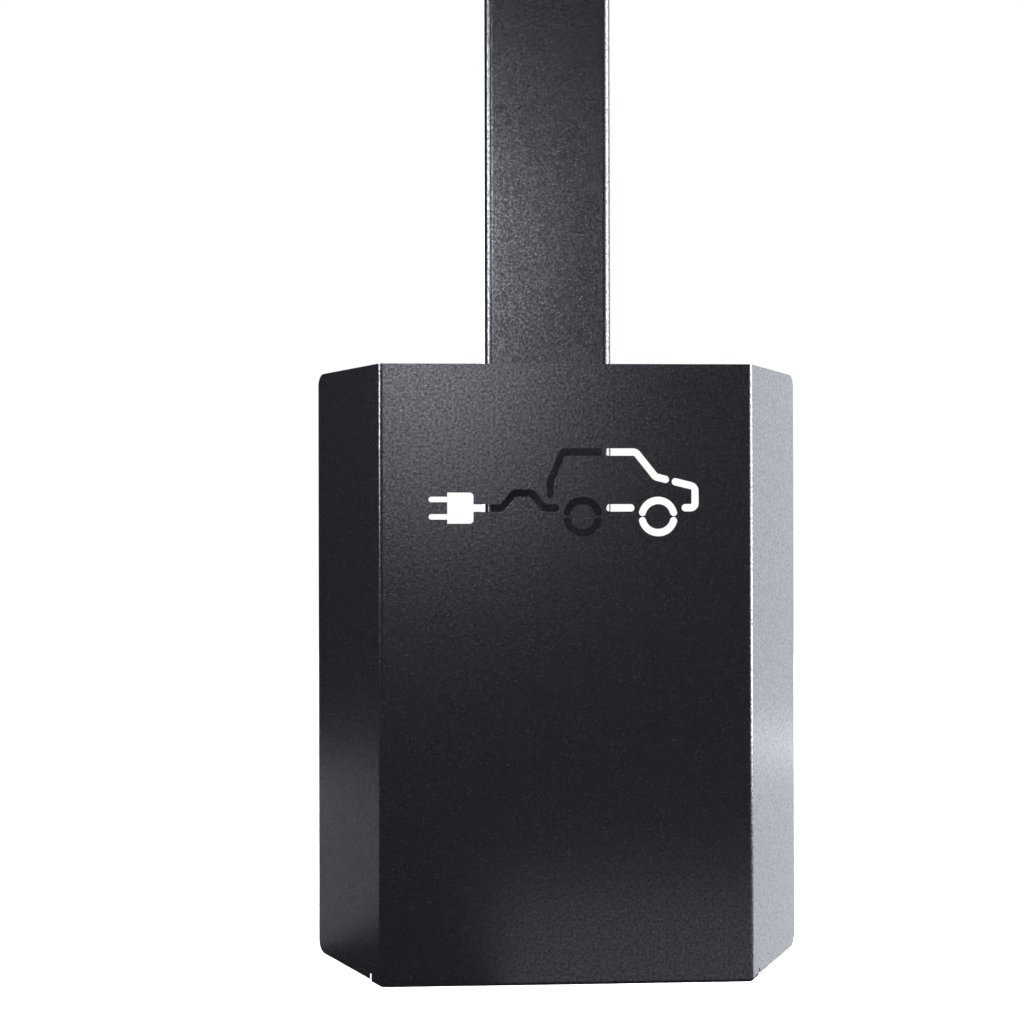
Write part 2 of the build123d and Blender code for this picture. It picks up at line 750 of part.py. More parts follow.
# The studs welded inside the column: two for each rail, and a thicker one on the right wall for the
# earth wire's ring lug.
earth_stud_y = 10
earth_stud_height = 500
lug_thickness = 1.5
with BuildPart() as weld_studs:
    with BuildSketch(facing_front(-inner_face)):
        for row in rail_rows:
            with Locations((-rail_stud_x, row), (rail_stud_x, row)):
                Circle(2.5)
    extrude(amount=-7)
    with BuildSketch(facing_right(inner_face)):
        with Locations((earth_stud_y, earth_stud_height)):
            Circle(4)
    extrude(amount=-18)
keep(weld_studs, "weld_studs")

with BuildPart() as earth_lug:
    with BuildSketch(facing_right(inner_face)):
        with Locations((earth_stud_y, earth_stud_height)):
            Circle(8)
            Rectangle(8, 20, align=(Align.CENTER, Align.MIN))
            Circle(4.05, mode=Mode.SUBTRACT)
    extrude(amount=-lug_thickness)
    with BuildSketch(Plane.XY.offset(earth_stud_height + 12)):
        with Locations((inner_face - 3.3, earth_stud_y)):
            Circle(3.3)
    extrude(amount=10)
keep(earth_lug, "earth_lug")

with BuildPart() as stud_nuts:
    for row in rail_rows:
        for x in (-rail_stud_x, rail_stud_x):
            with Locations(Plane(origin=(x, -inner_face + rail_sheet, row), z_dir=(0, 1, 0)).location):
                add(flange_nut(5))
    with Locations(Plane(origin=(inner_face - lug_thickness, earth_stud_y, earth_stud_height),
                         z_dir=(-1, 0, 0)).location):
        add(flange_nut(8))
keep(stud_nuts, "stud_nuts")

# ==== The charging outlet ========================================================================

# A square flange on a gasket, a round collar, and a deep recess round the contact carrier.
flange_size = 80
flange_thickness = 5
outlet_gasket = 2
flange_front = -(face + outlet_gasket + flange_thickness)
collar_radius = 34
collar_front = flange_front - 5
recess_radius = 28
recess_depth = 40
carrier_radius = 21
rear_radius = 32
rear_back = -28
lid_axis_y = collar_front - 2
lid_axis_z = outlet_height + 44
lid_pin_radius = 2
ear_radius = 4.5
ear_middle = 17
ear_thickness = 4
contact_places = [(0, 0), (-13, 0), (13, 0), (-7, -11.5), (7, -11.5)]
pilot_places = [(-6, 10.5), (6, 10.5)]
contact_radius = 4
pilot_radius = 2.5
boss_width = 24
boss_top = outlet_height + 34
latch_y = -48
latch_radius = 2.5
with BuildPart() as outlet_gasket_ring:
    with BuildSketch(facing_front(-face)):
        with Locations((0, outlet_height)):
            RectangleRounded(flange_size, flange_size, 8)
            Circle(outlet_hole_radius, mode=Mode.SUBTRACT)
            with GridLocations(outlet_screw_spacing, outlet_screw_spacing, 2, 2):
                Circle(2.1, mode=Mode.SUBTRACT)
    extrude(amount=outlet_gasket)
keep(outlet_gasket_ring, "outlet_gasket")

with BuildPart() as outlet_body:
    with BuildSketch(facing_front(-face - outlet_gasket)):
        with Locations((0, outlet_height)):
            RectangleRounded(flange_size, flange_size, 8)
    extrude(amount=flange_thickness)
    fillet(outlet_body.faces().sort_by(Axis.Y)[0].edges(), radius=1.5)
    with BuildSketch(facing_front(rear_back)):
        with Locations((0, outlet_height)):
            Circle(rear_radius)
    extrude(amount=rear_back - flange_front)
    with BuildSketch(facing_front(flange_front)):
        with Locations((0, outlet_height)):
            Circle(collar_radius)
    extrude(amount=flange_front - collar_front)
    with BuildSketch(facing_front(latch_y + 8)):
        with Locations((0, outlet_height + 26)):
            Rectangle(boss_width, boss_top - outlet_height - 26, align=(Align.CENTER, Align.MIN))
    extrude(amount=15)
    with BuildSketch(facing_front(collar_front)):
        with Locations((0, outlet_height)):
            Circle(recess_radius)
    extrude(amount=-recess_depth, mode=Mode.SUBTRACT)
    with BuildSketch(facing_front(collar_front)):
        with Locations((0, outlet_height)):
            with Locations(*contact_places):
                Circle(contact_radius)
            with Locations(*pilot_places):
                Circle(pilot_radius)
            with GridLocations(outlet_screw_spacing, outlet_screw_spacing, 2, 2):
                Circle(2.1)
    extrude(amount=-60, mode=Mode.SUBTRACT)
    with BuildSketch(Plane.XY.offset(boss_top)):
        with Locations((0, latch_y)):
            Circle(latch_radius + running_gap)
    extrude(amount=-12, mode=Mode.SUBTRACT)
    for side in (-1, 1):
        with BuildSketch(facing_right(side * ear_middle - ear_thickness / 2)):
            with Locations((lid_axis_y, lid_axis_z)):
                Circle(ear_radius)
            with BuildLine():
                Polyline((lid_axis_y - 1, lid_axis_z - ear_radius + 0.2), (flange_front, lid_axis_z - 14),
                         (flange_front + 3, lid_axis_z - 14), (flange_front + 3, lid_axis_z - 6),
                         (lid_axis_y + 3, lid_axis_z + 3), close=True)
            make_face()
            with Locations((lid_axis_y, lid_axis_z)):
                Circle(lid_pin_radius, mode=Mode.SUBTRACT)
        extrude(amount=ear_thickness)
keep(outlet_body, "outlet_body")

# The contact carrier, which stands on the recess's floor.
carrier_front = collar_front + 5
with BuildPart() as outlet_carrier:
    with BuildSketch(facing_front(collar_front + recess_depth)):
        with Locations((0, outlet_height)):
            Circle(carrier_radius)
            with Locations(*contact_places):
                Circle(contact_radius, mode=Mode.SUBTRACT)
            with Locations(*pilot_places):
                Circle(pilot_radius, mode=Mode.SUBTRACT)
    extrude(amount=collar_front + recess_depth - carrier_front)
    chamfer(outlet_carrier.faces().sort_by(Axis.Y)[0].outer_wire().edges(), length=1.2)
keep(outlet_carrier, "outlet_carrier")

# Five power contacts and two pilot contacts: split sleeves in the carrier.
sleeve_back = -22
with BuildPart() as outlet_contacts:
    with BuildSketch(facing_front(sleeve_back)):
        with Locations((0, outlet_height)):
            with Locations(*contact_places):
                Circle(contact_radius)
                Circle(contact_radius - 1, mode=Mode.SUBTRACT)
            with Locations(*pilot_places):
                Circle(pilot_radius)
                Circle(pilot_radius - 1, mode=Mode.SUBTRACT)
    extrude(amount=sleeve_back - collar_front - 10)
    with BuildSketch(facing_front(collar_front + 10)):
        with Locations((0, outlet_height)):
            for x, z in contact_places + pilot_places:
                with Locations((x, z)):
                    Rectangle(2 * contact_radius + 1, 0.8)
    extrude(amount=-12, mode=Mode.SUBTRACT)
keep(outlet_contacts, "outlet_contacts")

# The terminal block behind the outlet: the contacts plug into it, and the wires enter its underside.
block_width = 64
block_height = 76
block_back = 6
outlet_wire_y = -10
outlet_wires_x = [-24, -12, 0, 12, 24]
with BuildPart() as outlet_terminal_block:
    with BuildSketch(facing_front(rear_back)):
        with Locations((0, outlet_height)):
            RectangleRounded(block_width, block_height, 4)
            with Locations(*contact_places):
                Circle(contact_radius, mode=Mode.SUBTRACT)
            with Locations(*pilot_places):
                Circle(pilot_radius, mode=Mode.SUBTRACT)
    extrude(amount=-(sleeve_back - rear_back))
    with BuildSketch(facing_front(sleeve_back)):
        with Locations((0, outlet_height)):
            RectangleRounded(block_width, block_height, 4)
    extrude(amount=-(block_back - sleeve_back))
    fillet(outlet_terminal_block.faces().sort_by(Axis.Y)[-1].edges(), radius=1.5)
    for x in outlet_wires_x:
        with BuildSketch(Plane(origin=(x, outlet_wire_y, outlet_height - block_height / 2), z_dir=(0, 0, 1))):
            Circle(wire_radius + 1)
        extrude(amount=pocket_depth, mode=Mode.SUBTRACT)
        with BuildSketch(facing_front(block_back)):
            with Locations((x, outlet_height - block_height / 2 + 12)):
                Circle(3)
        extrude(amount=10, mode=Mode.SUBTRACT)
keep(outlet_terminal_block, "outlet_terminal_block")

with BuildPart() as outlet_screws:
    for x in (-outlet_screw_spacing / 2, outlet_screw_spacing / 2):
        for rise in (-outlet_screw_spacing / 2, outlet_screw_spacing / 2):
            with Locations(Plane(origin=(x, flange_front, outlet_height + rise), z_dir=(0, -1, 0)).location):
                add(button_screw(4, 14))
keep(outlet_screws, "outlet_screws")

# The hinged lid, which a torsion spring closes: a round plate with a shallow rim and two lugs.
lid_radius = 38
lid_thickness = 3
lid_inside = collar_front - 2.3
rim_thickness = 2
lug_inner = 6
lug_outer = 14.6
with BuildPart() as outlet_lid:
    with BuildSketch(facing_front(lid_inside)):
        with Locations((0, outlet_height)):
            Circle(lid_radius)
    extrude(amount=lid_thickness)
    fillet(outlet_lid.faces().sort_by(Axis.Y)[0].edges(), radius=1.5)
    with BuildSketch(facing_front(lid_inside)):
        with Locations((0, outlet_height)):
            Circle(lid_radius)
            Circle(lid_radius - rim_thickness, mode=Mode.SUBTRACT)
    extrude(amount=-3)
    for start in (-lug_outer, lug_inner):
        with BuildSketch(facing_right(start)):
            with Locations((lid_axis_y, lid_axis_z)):
                Circle(ear_radius)
            with BuildLine():
                Polyline((lid_axis_y - ear_radius, lid_axis_z),
                         (lid_inside - lid_thickness + 0.5, outlet_height + 30),
                         (lid_inside, outlet_height + 30), (lid_inside, lid_axis_z - ear_radius),
                         (lid_axis_y + 2, lid_axis_z), close=True)
            make_face()
        extrude(amount=lug_outer - lug_inner)
    with BuildSketch(facing_right(-20)):
        with Locations((lid_axis_y, lid_axis_z)):
            Circle(lid_pin_radius + running_gap)
    extrude(amount=40, mode=Mode.SUBTRACT)
    with BuildSketch(facing_front(lid_inside - lid_thickness)):
        with Locations((0, outlet_height - 27)):
            SlotOverall(26, 9)
    extrude(amount=2.5, taper=30)
keep(outlet_lid, "outlet_lid")

with BuildPart() as outlet_lid_seal:
    with BuildSketch(facing_front(collar_front - 0.3)):
        with Locations((0, outlet_height)):
            Circle(collar_radius - 0.5)
            Circle(recess_radius + 1, mode=Mode.SUBTRACT)
    extrude(amount=collar_front - 0.3 - lid_inside)
keep(outlet_lid_seal, "outlet_lid_seal")

with BuildPart() as lid_pin:
    with BuildSketch(facing_right(-ear_middle - ear_thickness / 2)):
        with Locations((lid_axis_y, lid_axis_z)):
            Circle(lid_pin_radius)
    extrude(amount=2 * ear_middle + ear_thickness)
keep(lid_pin, "lid_pin")

# The torsion spring: eight turns round the pin, between the lid's two lugs.
spring_radius = 3
spring_wire = 0.45
spring_pitch = 1.2
spring_turns = 8
with BuildPart() as lid_spring:
    with BuildLine() as spring_path:
        Helix(spring_pitch, spring_pitch * spring_turns, spring_radius,
              center=(-spring_pitch * spring_turns / 2, lid_axis_y, lid_axis_z), direction=(1, 0, 0))
    with BuildSketch(Plane(origin=spring_path.line @ 0, z_dir=spring_path.line % 0)):
        Circle(spring_wire)
    sweep(is_frenet=True)
keep(lid_spring, "lid_spring")

# The latch that holds an inserted plug: an actuator on the outlet's boss, and the pin that it drives down.
actuator_width = 30
actuator_height = 40
latch_travel = 5
latch_tip = outlet_height + recess_radius + 2
with BuildPart() as latch_actuator:
    with BuildSketch(Plane.XY.offset(boss_top)):
        with Locations((0, latch_y + 5)):
            RectangleRounded(actuator_width, 24, 3)
    extrude(amount=actuator_height)
    fillet(latch_actuator.faces().sort_by(Axis.Z)[-1].edges(), radius=2)
    with BuildSketch(Plane.XY.offset(boss_top)):
        with Locations((0, latch_y)):
            Circle(latch_radius + running_gap)
    extrude(amount=30, mode=Mode.SUBTRACT)
keep(latch_actuator, "latch_actuator")

with BuildPart() as latch_pin:
    with BuildSketch(Plane.XY.offset(latch_tip)):
        with Locations((0, latch_y)):
            Circle(latch_radius)
    extrude(amount=28)
    chamfer(latch_pin.faces().sort_by(Axis.Z)[0].edges(), length=0.8)
keep(latch_pin, "latch_pin")

# ==== The status light and the card reader =======================================================

lens_proud = 1
window_flange = 1.5
board_thickness = 1.6
board_gap = 3
with BuildPart() as status_lens:
    with BuildSketch(facing_front(-inner_face)):
        with Locations((0, light_height)):
            SlotOverall(light_length - 0.4, light_width - 0.4)
    extrude(amount=column_wall + lens_proud)
    fillet(status_lens.faces().sort_by(Axis.Y)[0].edges(), radius=0.8)
    with BuildSketch(facing_front(-inner_face)):
        with Locations((0, light_height)):
            Rectangle(light_length + 8, light_width + 8)
    extrude(amount=-window_flange)
    with BuildSketch(facing_front(-inner_face + window_flange)):
        with Locations((0, light_height)):
            Rectangle(light_length + 8, light_width + 8)
            Rectangle(light_length + 4, light_width + 4, mode=Mode.SUBTRACT)
    extrude(amount=-board_gap)
keep(status_lens, "status_lens")

# The light's board, with a row of five diodes on its front.
board_front = -inner_face + window_flange + board_gap
with BuildPart() as light_board:
    with BuildSketch(facing_front(board_front)):
        with Locations((0, light_height)):
            Rectangle(light_length + 8, light_width + 8)
    extrude(amount=-board_thickness)
    with BuildSketch(facing_front(board_front)):
        with Locations((0, light_height)):
            with GridLocations(12, 1, 5, 1):
                Rectangle(5, 5)
    extrude(amount=1.2)
keep(light_board, "light_board")

with BuildPart() as reader_window:
    with BuildSketch(facing_front(-inner_face)):
        with Locations((0, reader_height)):
            RectangleRounded(reader_width - 0.4, reader_drop - 0.4, reader_corner - 0.2)
    extrude(amount=column_wall + lens_proud)
    fillet(reader_window.faces().sort_by(Axis.Y)[0].edges(), radius=0.8)
    with BuildSketch(facing_front(-inner_face)):
        with Locations((0, reader_height)):
            Rectangle(reader_width + 8, reader_drop + 8)
    extrude(amount=-window_flange)
keep(reader_window, "reader_window")

# The reader's board, with its loop aerial standing on it as a thin square track and one chip.
with BuildPart() as reader_board:
    with BuildSketch(facing_front(-inner_face + window_flange)):
        with Locations((0, reader_height)):
            Rectangle(reader_width + 4, reader_drop + 4)
    extrude(amount=-board_thickness)
    with BuildSketch(facing_front(-inner_face + window_flange + board_thickness)):
        with Locations((0, reader_height)):
            RectangleRounded(56, 32, 3)
            RectangleRounded(52, 28, 2, mode=Mode.SUBTRACT)
            Rectangle(10, 10)
    extrude(amount=-1.2)
keep(reader_board, "reader_board")

# ==== The wires ==================================================================================

terminal_top = terminal_row + terminal_height / 2
breaker_bottom = breaker_row - device_height / 2
breaker_top = breaker_row + device_height / 2
meter_bottom = meter_row - device_height / 2
meter_top = meter_row + device_height / 2
control_bottom = control_row - device_height / 2
control_top = control_row + device_height / 2
outlet_block_bottom = outlet_height - block_height / 2


def phase_run(terminal, wide_pole, contactor_pole, outlet_x):
    """One conductor: terminal to breaker, breaker to meter, meter to contactor, contactor to outlet."""
    links = [((terminal, wire_y, terminal_top), (wide_pole, wire_y, breaker_bottom)),
             ((wide_pole, wire_y, breaker_top), (wide_pole, wire_y, meter_bottom)),
             ((wide_pole, wire_y, meter_top), (contactor_pole, wire_y, control_bottom)),
             ((contactor_pole, wire_y, control_top), (outlet_x, outlet_wire_y, outlet_block_bottom))]
    runs = []
    for (x0, y0, z0), (x1, y1, z1) in links:
        start, end = (x0, y0, z0 - pocket_depth), (x1, y1, z1 + pocket_depth)
        if (x0, y0) == (x1, y1):
            runs.append(wire([start, end], 2 * wire_radius, 0))
        else:
            lead = 0.2 * (z1 - z0)
            route = [start, (x0, y0, z0 + lead), (x1, y1, z1 - lead), end]
            runs.append(wire(route, 2 * wire_radius, 9))
    return runs


conductors = {
    "phase_1_wires": (phase_terminals[0], wide_poles[0], contactor_poles[0], outlet_wires_x[0]),
    "phase_2_wires": (phase_terminals[1], wide_poles[1], contactor_poles[1], outlet_wires_x[1]),
    "phase_3_wires": (phase_terminals[2], wide_poles[2], contactor_poles[2], outlet_wires_x[2]),
    "neutral_wires": (neutral_terminal_x, wide_poles[3], contactor_poles[3], outlet_wires_x[3]),
}
for name, places in conductors.items():
    with BuildPart() as conductor:
        for run in phase_run(*places):
            add(run)
    keep(conductor, name)

# The earth wires: one from the lug on the column's wall to the earth terminal, and one on to the outlet.
lug_mouth_x = inner_face - 3.3
lug_mouth_height = earth_stud_height + 22
earth_lane = 43
with BuildPart() as earth_wires:
    add(wire([(lug_mouth_x, earth_stud_y, lug_mouth_height),
              (lug_mouth_x, earth_stud_y, lug_mouth_height + 8), (earth_terminal_x, wire_y, 556),
              (earth_terminal_x, wire_y, 562 + pocket_depth)], 2 * wire_radius, 9))
    add(wire([(earth_terminal_x, wire_y, terminal_top - pocket_depth), (earth_terminal_x, wire_y, 632),
              (earth_lane, wire_y, 660), (earth_lane, wire_y, 1080), (outlet_wires_x[4], outlet_wire_y, 1100),
              (outlet_wires_x[4], outlet_wire_y, outlet_block_bottom + pocket_depth)], 2 * wire_radius, 9))
keep(earth_wires, "earth_wires")

# The signal wires: two to the outlet's pilot contacts, then the latch, the status light and the card reader.
signal_diameter = 1.8
connector_top = control_row + 42
connector_y = rail_face + device_shoulder + 5.5
signal_starts = [controller_middle + connector_pitch * n for n in range(-2, 3)]
signal_ends = [
    [(38, -6, 1100), (38, -25, 1170), (26, -43, 1204), (actuator_width / 2, -43, 1204)],
    [(42, -8, 1094), (42, -25, 1200), (32, -38, 1236), (32, board_front + board_thickness, 1236)],
    [(46, -10, 1088), (46, -25, 1235), (32, -40, 1272),
     (32, -inner_face + window_flange + board_thickness, 1272)],
]
with BuildPart() as signal_wires:
    for x in signal_starts[:2]:
        ends = [(x, connector_y, connector_top), (x, connector_y, outlet_block_bottom)]
        add(wire(ends, signal_diameter, 0))
    for n, rest in enumerate(signal_ends):
        x = signal_starts[n + 2]
        start = [(x, connector_y, connector_top), (x, connector_y, connector_top + 22 - 6 * n)]
        add(wire(start + rest, signal_diameter, 5))
keep(signal_wires, "signal_wires")
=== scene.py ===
"""An electric-vehicle charging post: finishes, small pieces and a studio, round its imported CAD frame."""

import json
import math

import bmesh
import bpy
from mathutils import Euler, Matrix, Vector


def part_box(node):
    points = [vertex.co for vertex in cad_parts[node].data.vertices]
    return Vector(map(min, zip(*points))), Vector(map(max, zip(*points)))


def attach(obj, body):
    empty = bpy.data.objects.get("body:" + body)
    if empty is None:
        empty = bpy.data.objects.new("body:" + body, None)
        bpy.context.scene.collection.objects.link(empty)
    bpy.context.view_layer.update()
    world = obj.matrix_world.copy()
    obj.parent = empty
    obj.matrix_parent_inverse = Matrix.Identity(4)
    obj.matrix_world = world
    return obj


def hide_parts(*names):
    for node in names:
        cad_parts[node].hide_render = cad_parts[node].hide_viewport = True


bl_info = {
    "name": "Charging Post Builder",
    "version": (1, 0, 0),
    "blender": (4, 5, 0),
    "location": "3D View > Sidebar > Charging Post",
    "description": "Finishes a charging post and its folded shield, piece by piece, and sets up a studio",
    "category": "Object",
}

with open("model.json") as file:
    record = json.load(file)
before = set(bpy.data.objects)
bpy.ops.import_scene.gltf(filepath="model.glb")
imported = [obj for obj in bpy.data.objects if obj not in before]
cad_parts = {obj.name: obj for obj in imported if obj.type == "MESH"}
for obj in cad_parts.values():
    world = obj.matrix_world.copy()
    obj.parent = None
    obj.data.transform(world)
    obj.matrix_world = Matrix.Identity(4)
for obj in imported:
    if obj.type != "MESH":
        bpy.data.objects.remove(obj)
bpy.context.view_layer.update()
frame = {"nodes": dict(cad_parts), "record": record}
nodes = frame["nodes"]

MM = 0.001


# ---- Small helpers ------------------------------------------------------------------------------

def srgb(code):
    """A hex sRGB colour as linear red, green, blue and full alpha."""
    shares = [int(code[start:start + 2], 16) / 255 for start in (0, 2, 4)]
    linear = [share / 12.92 if share <= 0.04045 else ((share + 0.055) / 1.055) ** 2.4 for share in shares]
    return (*linear, 1.0)


def node(tree, kind, inputs=None, **settings):
    """Adds a node. An input given a socket is linked to it, and any other input is set to its value."""
    made = tree.nodes.new(kind)
    for name, value in settings.items():
        setattr(made, name, value)
    for key, value in (inputs or {}).items():
        socket = made.inputs[key]
        if isinstance(value, bpy.types.NodeSocket):
            tree.links.new(value, socket)
        else:
            socket.default_value = value
    return made


def middle(name):
    """The middle of a CAD node's box."""
    low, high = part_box(name)
    return (Vector(low) + Vector(high)) / 2


def mesh_of(name, points, edges=()):
    """A mesh of loose points and edges, in metres."""
    mesh = bpy.data.meshes.new(name)
    mesh.from_pydata(points, edges, [])
    return mesh


def settle(piece):
    """Turns what a piece's modifiers make into its plain mesh, and takes the modifiers off."""
    made = bpy.data.meshes.new_from_object(piece.evaluated_get(bpy.context.evaluated_depsgraph_get()))
    piece.modifiers.clear()
    piece.data = made
    made.name = piece.name


def join_object(piece, body):
    """Makes a finished piece part of the object."""
    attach(piece, body)


# ---- Finishes -----------------------------------------------------------------------------------

def grained(name, size, colours, roughness, depth=0.0, detail=3.0, stretch=(1.0, 1.0, 1.0), **values):
    """A material whose colour, gloss and surface follow one grain.

    size is the grain's width and depth its height, in millimetres. colours are hex codes, or colours from
    the panel. values are constants for the shader.
    """
    dark, light = (srgb(colour) if isinstance(colour, str) else (*colour, 1.0) for colour in colours)
    material = bpy.data.materials.new(name)
    material.use_nodes = True
    tree = material.node_tree
    shader = tree.nodes["Principled BSDF"]
    for key, value in values.items():
        shader.inputs[key.replace("_", " ")].default_value = value
    place = node(tree, "ShaderNodeTexCoord").outputs["Object"]
    spread = node(tree, "ShaderNodeMapping", {"Vector": place, "Scale": stretch}).outputs["Vector"]
    grain = node(tree, "ShaderNodeTexNoise", {
        "Vector": spread, "Scale": 1 / (size * MM), "Detail": detail, "Roughness": 0.6}).outputs["Fac"]
    share = node(tree, "ShaderNodeMapRange", {"Value": grain, "From Min": 0.32, "From Max": 0.68})
    tone = node(tree, "ShaderNodeMix", {0: share.outputs["Result"], 6: dark, 7: light},
                data_type="RGBA")
    gloss = node(tree, "ShaderNodeMapRange", {
        "Value": grain, "From Min": 0.32, "From Max": 0.68, "To Min": roughness[0], "To Max": roughness[1]})
    tree.links.new(tone.outputs[2], shader.inputs["Base Color"])
    tree.links.new(gloss.outputs["Result"], shader.inputs["Roughness"])
    if depth:
        relief = node(tree, "ShaderNodeBump", {"Height": grain, "Distance": depth * MM, "Strength": 1.0})
        tree.links.new(relief.outputs["Normal"], shader.inputs["Normal"])
    return material


def powder_coat():
    """Polyester powder baked on steel: near-black satin. Its fine texture breaks each reflection into a
    sparkle, and a slow waviness under it, the orange peel, makes the reflections' edges wander."""
    # The real texture is about 0.3 mm wide. It is drawn at 1.5 mm, so that it shows from a metre away.
    colours = bpy.context.scene.charging_post_colours
    material = grained("powder_coated_steel_black", 1.5, (colours.coat_dark, colours.coat_light),
                       (0.20, 0.28), depth=0.09, IOR=1.5)
    tree = material.node_tree
    place = tree.nodes["Texture Coordinate"].outputs["Object"]
    peel_width, peel_depth, pit_width = 8 * MM, 0.03 * MM, 2.2 * MM
    peel = node(tree, "ShaderNodeTexNoise", {"Vector": place, "Scale": 1 / peel_width, "Detail": 1.0})
    waves = node(tree, "ShaderNodeBump", {
        "Height": peel.outputs["Fac"], "Distance": peel_depth, "Strength": 1.0})
    tree.links.new(waves.outputs["Normal"], tree.nodes["Bump"].inputs["Normal"])
    # The pits between the grains shade each other, so the reflection is stronger on some than on others.
    pits = node(tree, "ShaderNodeTexNoise", {"Vector": place, "Scale": 1 / pit_width, "Detail": 2.0})
    shine = node(tree, "ShaderNodeMapRange", {
        "Value": pits.outputs["Fac"], "From Min": 0.3, "From Max": 0.7, "To Min": 0.2, "To Max": 0.8})
    tree.links.new(shine.outputs["Result"], tree.nodes["Principled BSDF"].inputs["Specular IOR Level"])
    return material


def polyamide(name, dark, light, roughness=0.45):
    """Injection-moulded polyamide: even and slightly soft to the eye, with a spark-eroded grain."""
    return grained(f"polyamide_{name}_moulded", 0.6, (dark, light), (roughness - 0.05, roughness + 0.05),
                   depth=0.02, IOR=1.53)


def insulation(name, dark, light):
    """Extruded PVC: smooth, with a slight gloss and a slow change of tone along the wire."""
    return grained(f"pvc_{name}_extruded", 6.0, (dark, light), (0.28, 0.38), IOR=1.53)


def earth_insulation():
    """Extruded PVC in two colours: bands of yellow over green that wind along the wire."""
    material = insulation("green_yellow", "2f7d2c", "3d9138")
    tree = material.node_tree
    shader = tree.nodes["Principled BSDF"]
    place = tree.nodes["Texture Coordinate"].outputs["Object"]
    band_pitch = 28 * MM
    bands = node(tree, "ShaderNodeTexWave", {"Vector": place, "Scale": 1 / band_pitch, "Distortion": 0.0},
                 bands_direction="DIAGONAL")
    share = node(tree, "ShaderNodeMapRange", {
        "Value": bands.outputs["Fac"], "From Min": 0.47, "From Max": 0.53})
    green = shader.inputs["Base Color"].links[0].from_socket
    both = node(tree, "ShaderNodeMix", {0: share.outputs["Result"], 6: green, 7: srgb("e3c832")},
                data_type="RGBA")
    tree.links.new(both.outputs[2], shader.inputs["Base Color"])
    return material


def circuit_board():
    """Glass-epoxy under green solder mask: copper tracks show through it as paler lines."""
    material = grained("solder_mask_green", 3.0, ("15452c", "1c5537"), (0.28, 0.36), IOR=1.5)
    tree = material.node_tree
    shader = tree.nodes["Principled BSDF"]
    place = tree.nodes["Texture Coordinate"].outputs["Object"]
    upright = node(tree, "ShaderNodeMapping", {"Vector": place, "Rotation": (math.pi / 2, 0.0, 0.0)})
    mask = shader.inputs["Base Color"].links[0].from_socket
    tracks = node(tree, "ShaderNodeTexBrick", {
        "Vector": upright.outputs["Vector"], "Scale": 1 / (8 * MM), "Mortar Size": 0.04, "Color1": mask,
        "Color2": mask, "Mortar": srgb("3f8f60")})
    tree.links.new(tracks.outputs["Color"], shader.inputs["Base Color"])
    return material


RECIPES = {
    "black_powder_coat": powder_coat,
    "black_plastic": lambda: polyamide("black", "101113", "191a1c", 0.42),
    "dark_grey_plastic": lambda: polyamide("dark_grey", "313437", "3c3f42", 0.48),
    # Closed-cell EPDM foam and rubber: dull, with small open cells.
    "black_rubber": lambda: grained("epdm_foam_black", 0.8, ("0c0c0c", "232323"), (0.8, 0.92), depth=0.15,
                                    detail=4.0, IOR=1.5),
    # Bright zinc plate: a bluish metal that is a little cloudy.
    "zinc_plate": lambda: grained("steel_zinc_plated", 2.5, ("a6abb2", "cfd3d9"), (0.24, 0.42), depth=0.01,
                                  detail=4.0, Metallic=1.0),
    # Turned and tumbled stainless steel: a warm grey metal with faint marks round it.
    "stainless_steel": lambda: grained("stainless_steel_tumbled", 0.7, ("979795", "bebebb"), (0.24, 0.36),
                                       depth=0.006, Metallic=1.0),
    # Turned brass that has started to dull.
    "brass": lambda: grained("brass_turned", 2.0, ("94743a", "c9a55c"), (0.25, 0.4), Metallic=1.0),
    # Silver on copper alloy: pale and warm, with a faint tarnish.
    "silver_plate": lambda: grained("copper_silver_plated", 2.5, ("b9b5aa", "dddad2"), (0.18, 0.3),
                                    Metallic=1.0),
    "housing_grey": lambda: polyamide("light_grey", "c3c5c2", "d2d4d1", 0.5),
    "terminal_grey": lambda: polyamide("grey", "858a8c", "94999b"),
    "terminal_blue": lambda: polyamide("blue", "27569c", "3064b0"),
    "terminal_green": lambda: polyamide("green", "378c35", "43a03f"),
    "connector_green": lambda: polyamide("connector_green", "28824a", "339654"),
    # Polished polycarbonate over a grey-green display: glossy, with fine wiping marks.
    "clear_window": lambda: grained("polycarbonate_window", 4.0, ("8fa79a", "9db3a6"), (0.04, 0.1),
                                    IOR=1.58, Coat_Weight=1.0, Coat_Roughness=0.04),
    # Frosted green polycarbonate over lit diodes: a bar with an even, gentle glow.
    "frosted_lens": lambda: grained(
        "polycarbonate_frosted", 0.5, ("5f9f73", "79b48a"), (0.3, 0.42), depth=0.01, IOR=1.58,
        Emission_Strength=0.5, Emission_Color=(*bpy.context.scene.charging_post_colours.status_glow, 1.0)),
    # Polished black acrylic: deep, with sharp reflections that upright wiping marks soften a little.
    "reader_black": lambda: grained("acrylic_black_polished", 1.2, ("060708", "0c0d0f"), (0.06, 0.14),
                                    stretch=(1.0, 1.0, 0.15), IOR=1.49),
    "circuit_board": circuit_board,
    "brown_wire": lambda: insulation("brown", "4d3019", "5f3d25"),
    "black_wire": lambda: insulation("black", "121214", "1b1b1d"),
    "grey_wire": lambda: insulation("grey", "7c7f81", "8b8e90"),
    "blue_wire": lambda: insulation("blue", "2459a5", "2f69bd"),
    "earth_wire": earth_insulation,
    "signal_wire": lambda: insulation("white", "b9bbb8", "cbcdca"),
}
made_finishes = {}


def finish(slot):
    """The material of one of the record's slots, made when it is first asked for."""
    if slot not in made_finishes:
        made_finishes[slot] = RECIPES[slot]()
    return made_finishes[slot]


# ---- What a user would change ---------------------------------------------------------------------

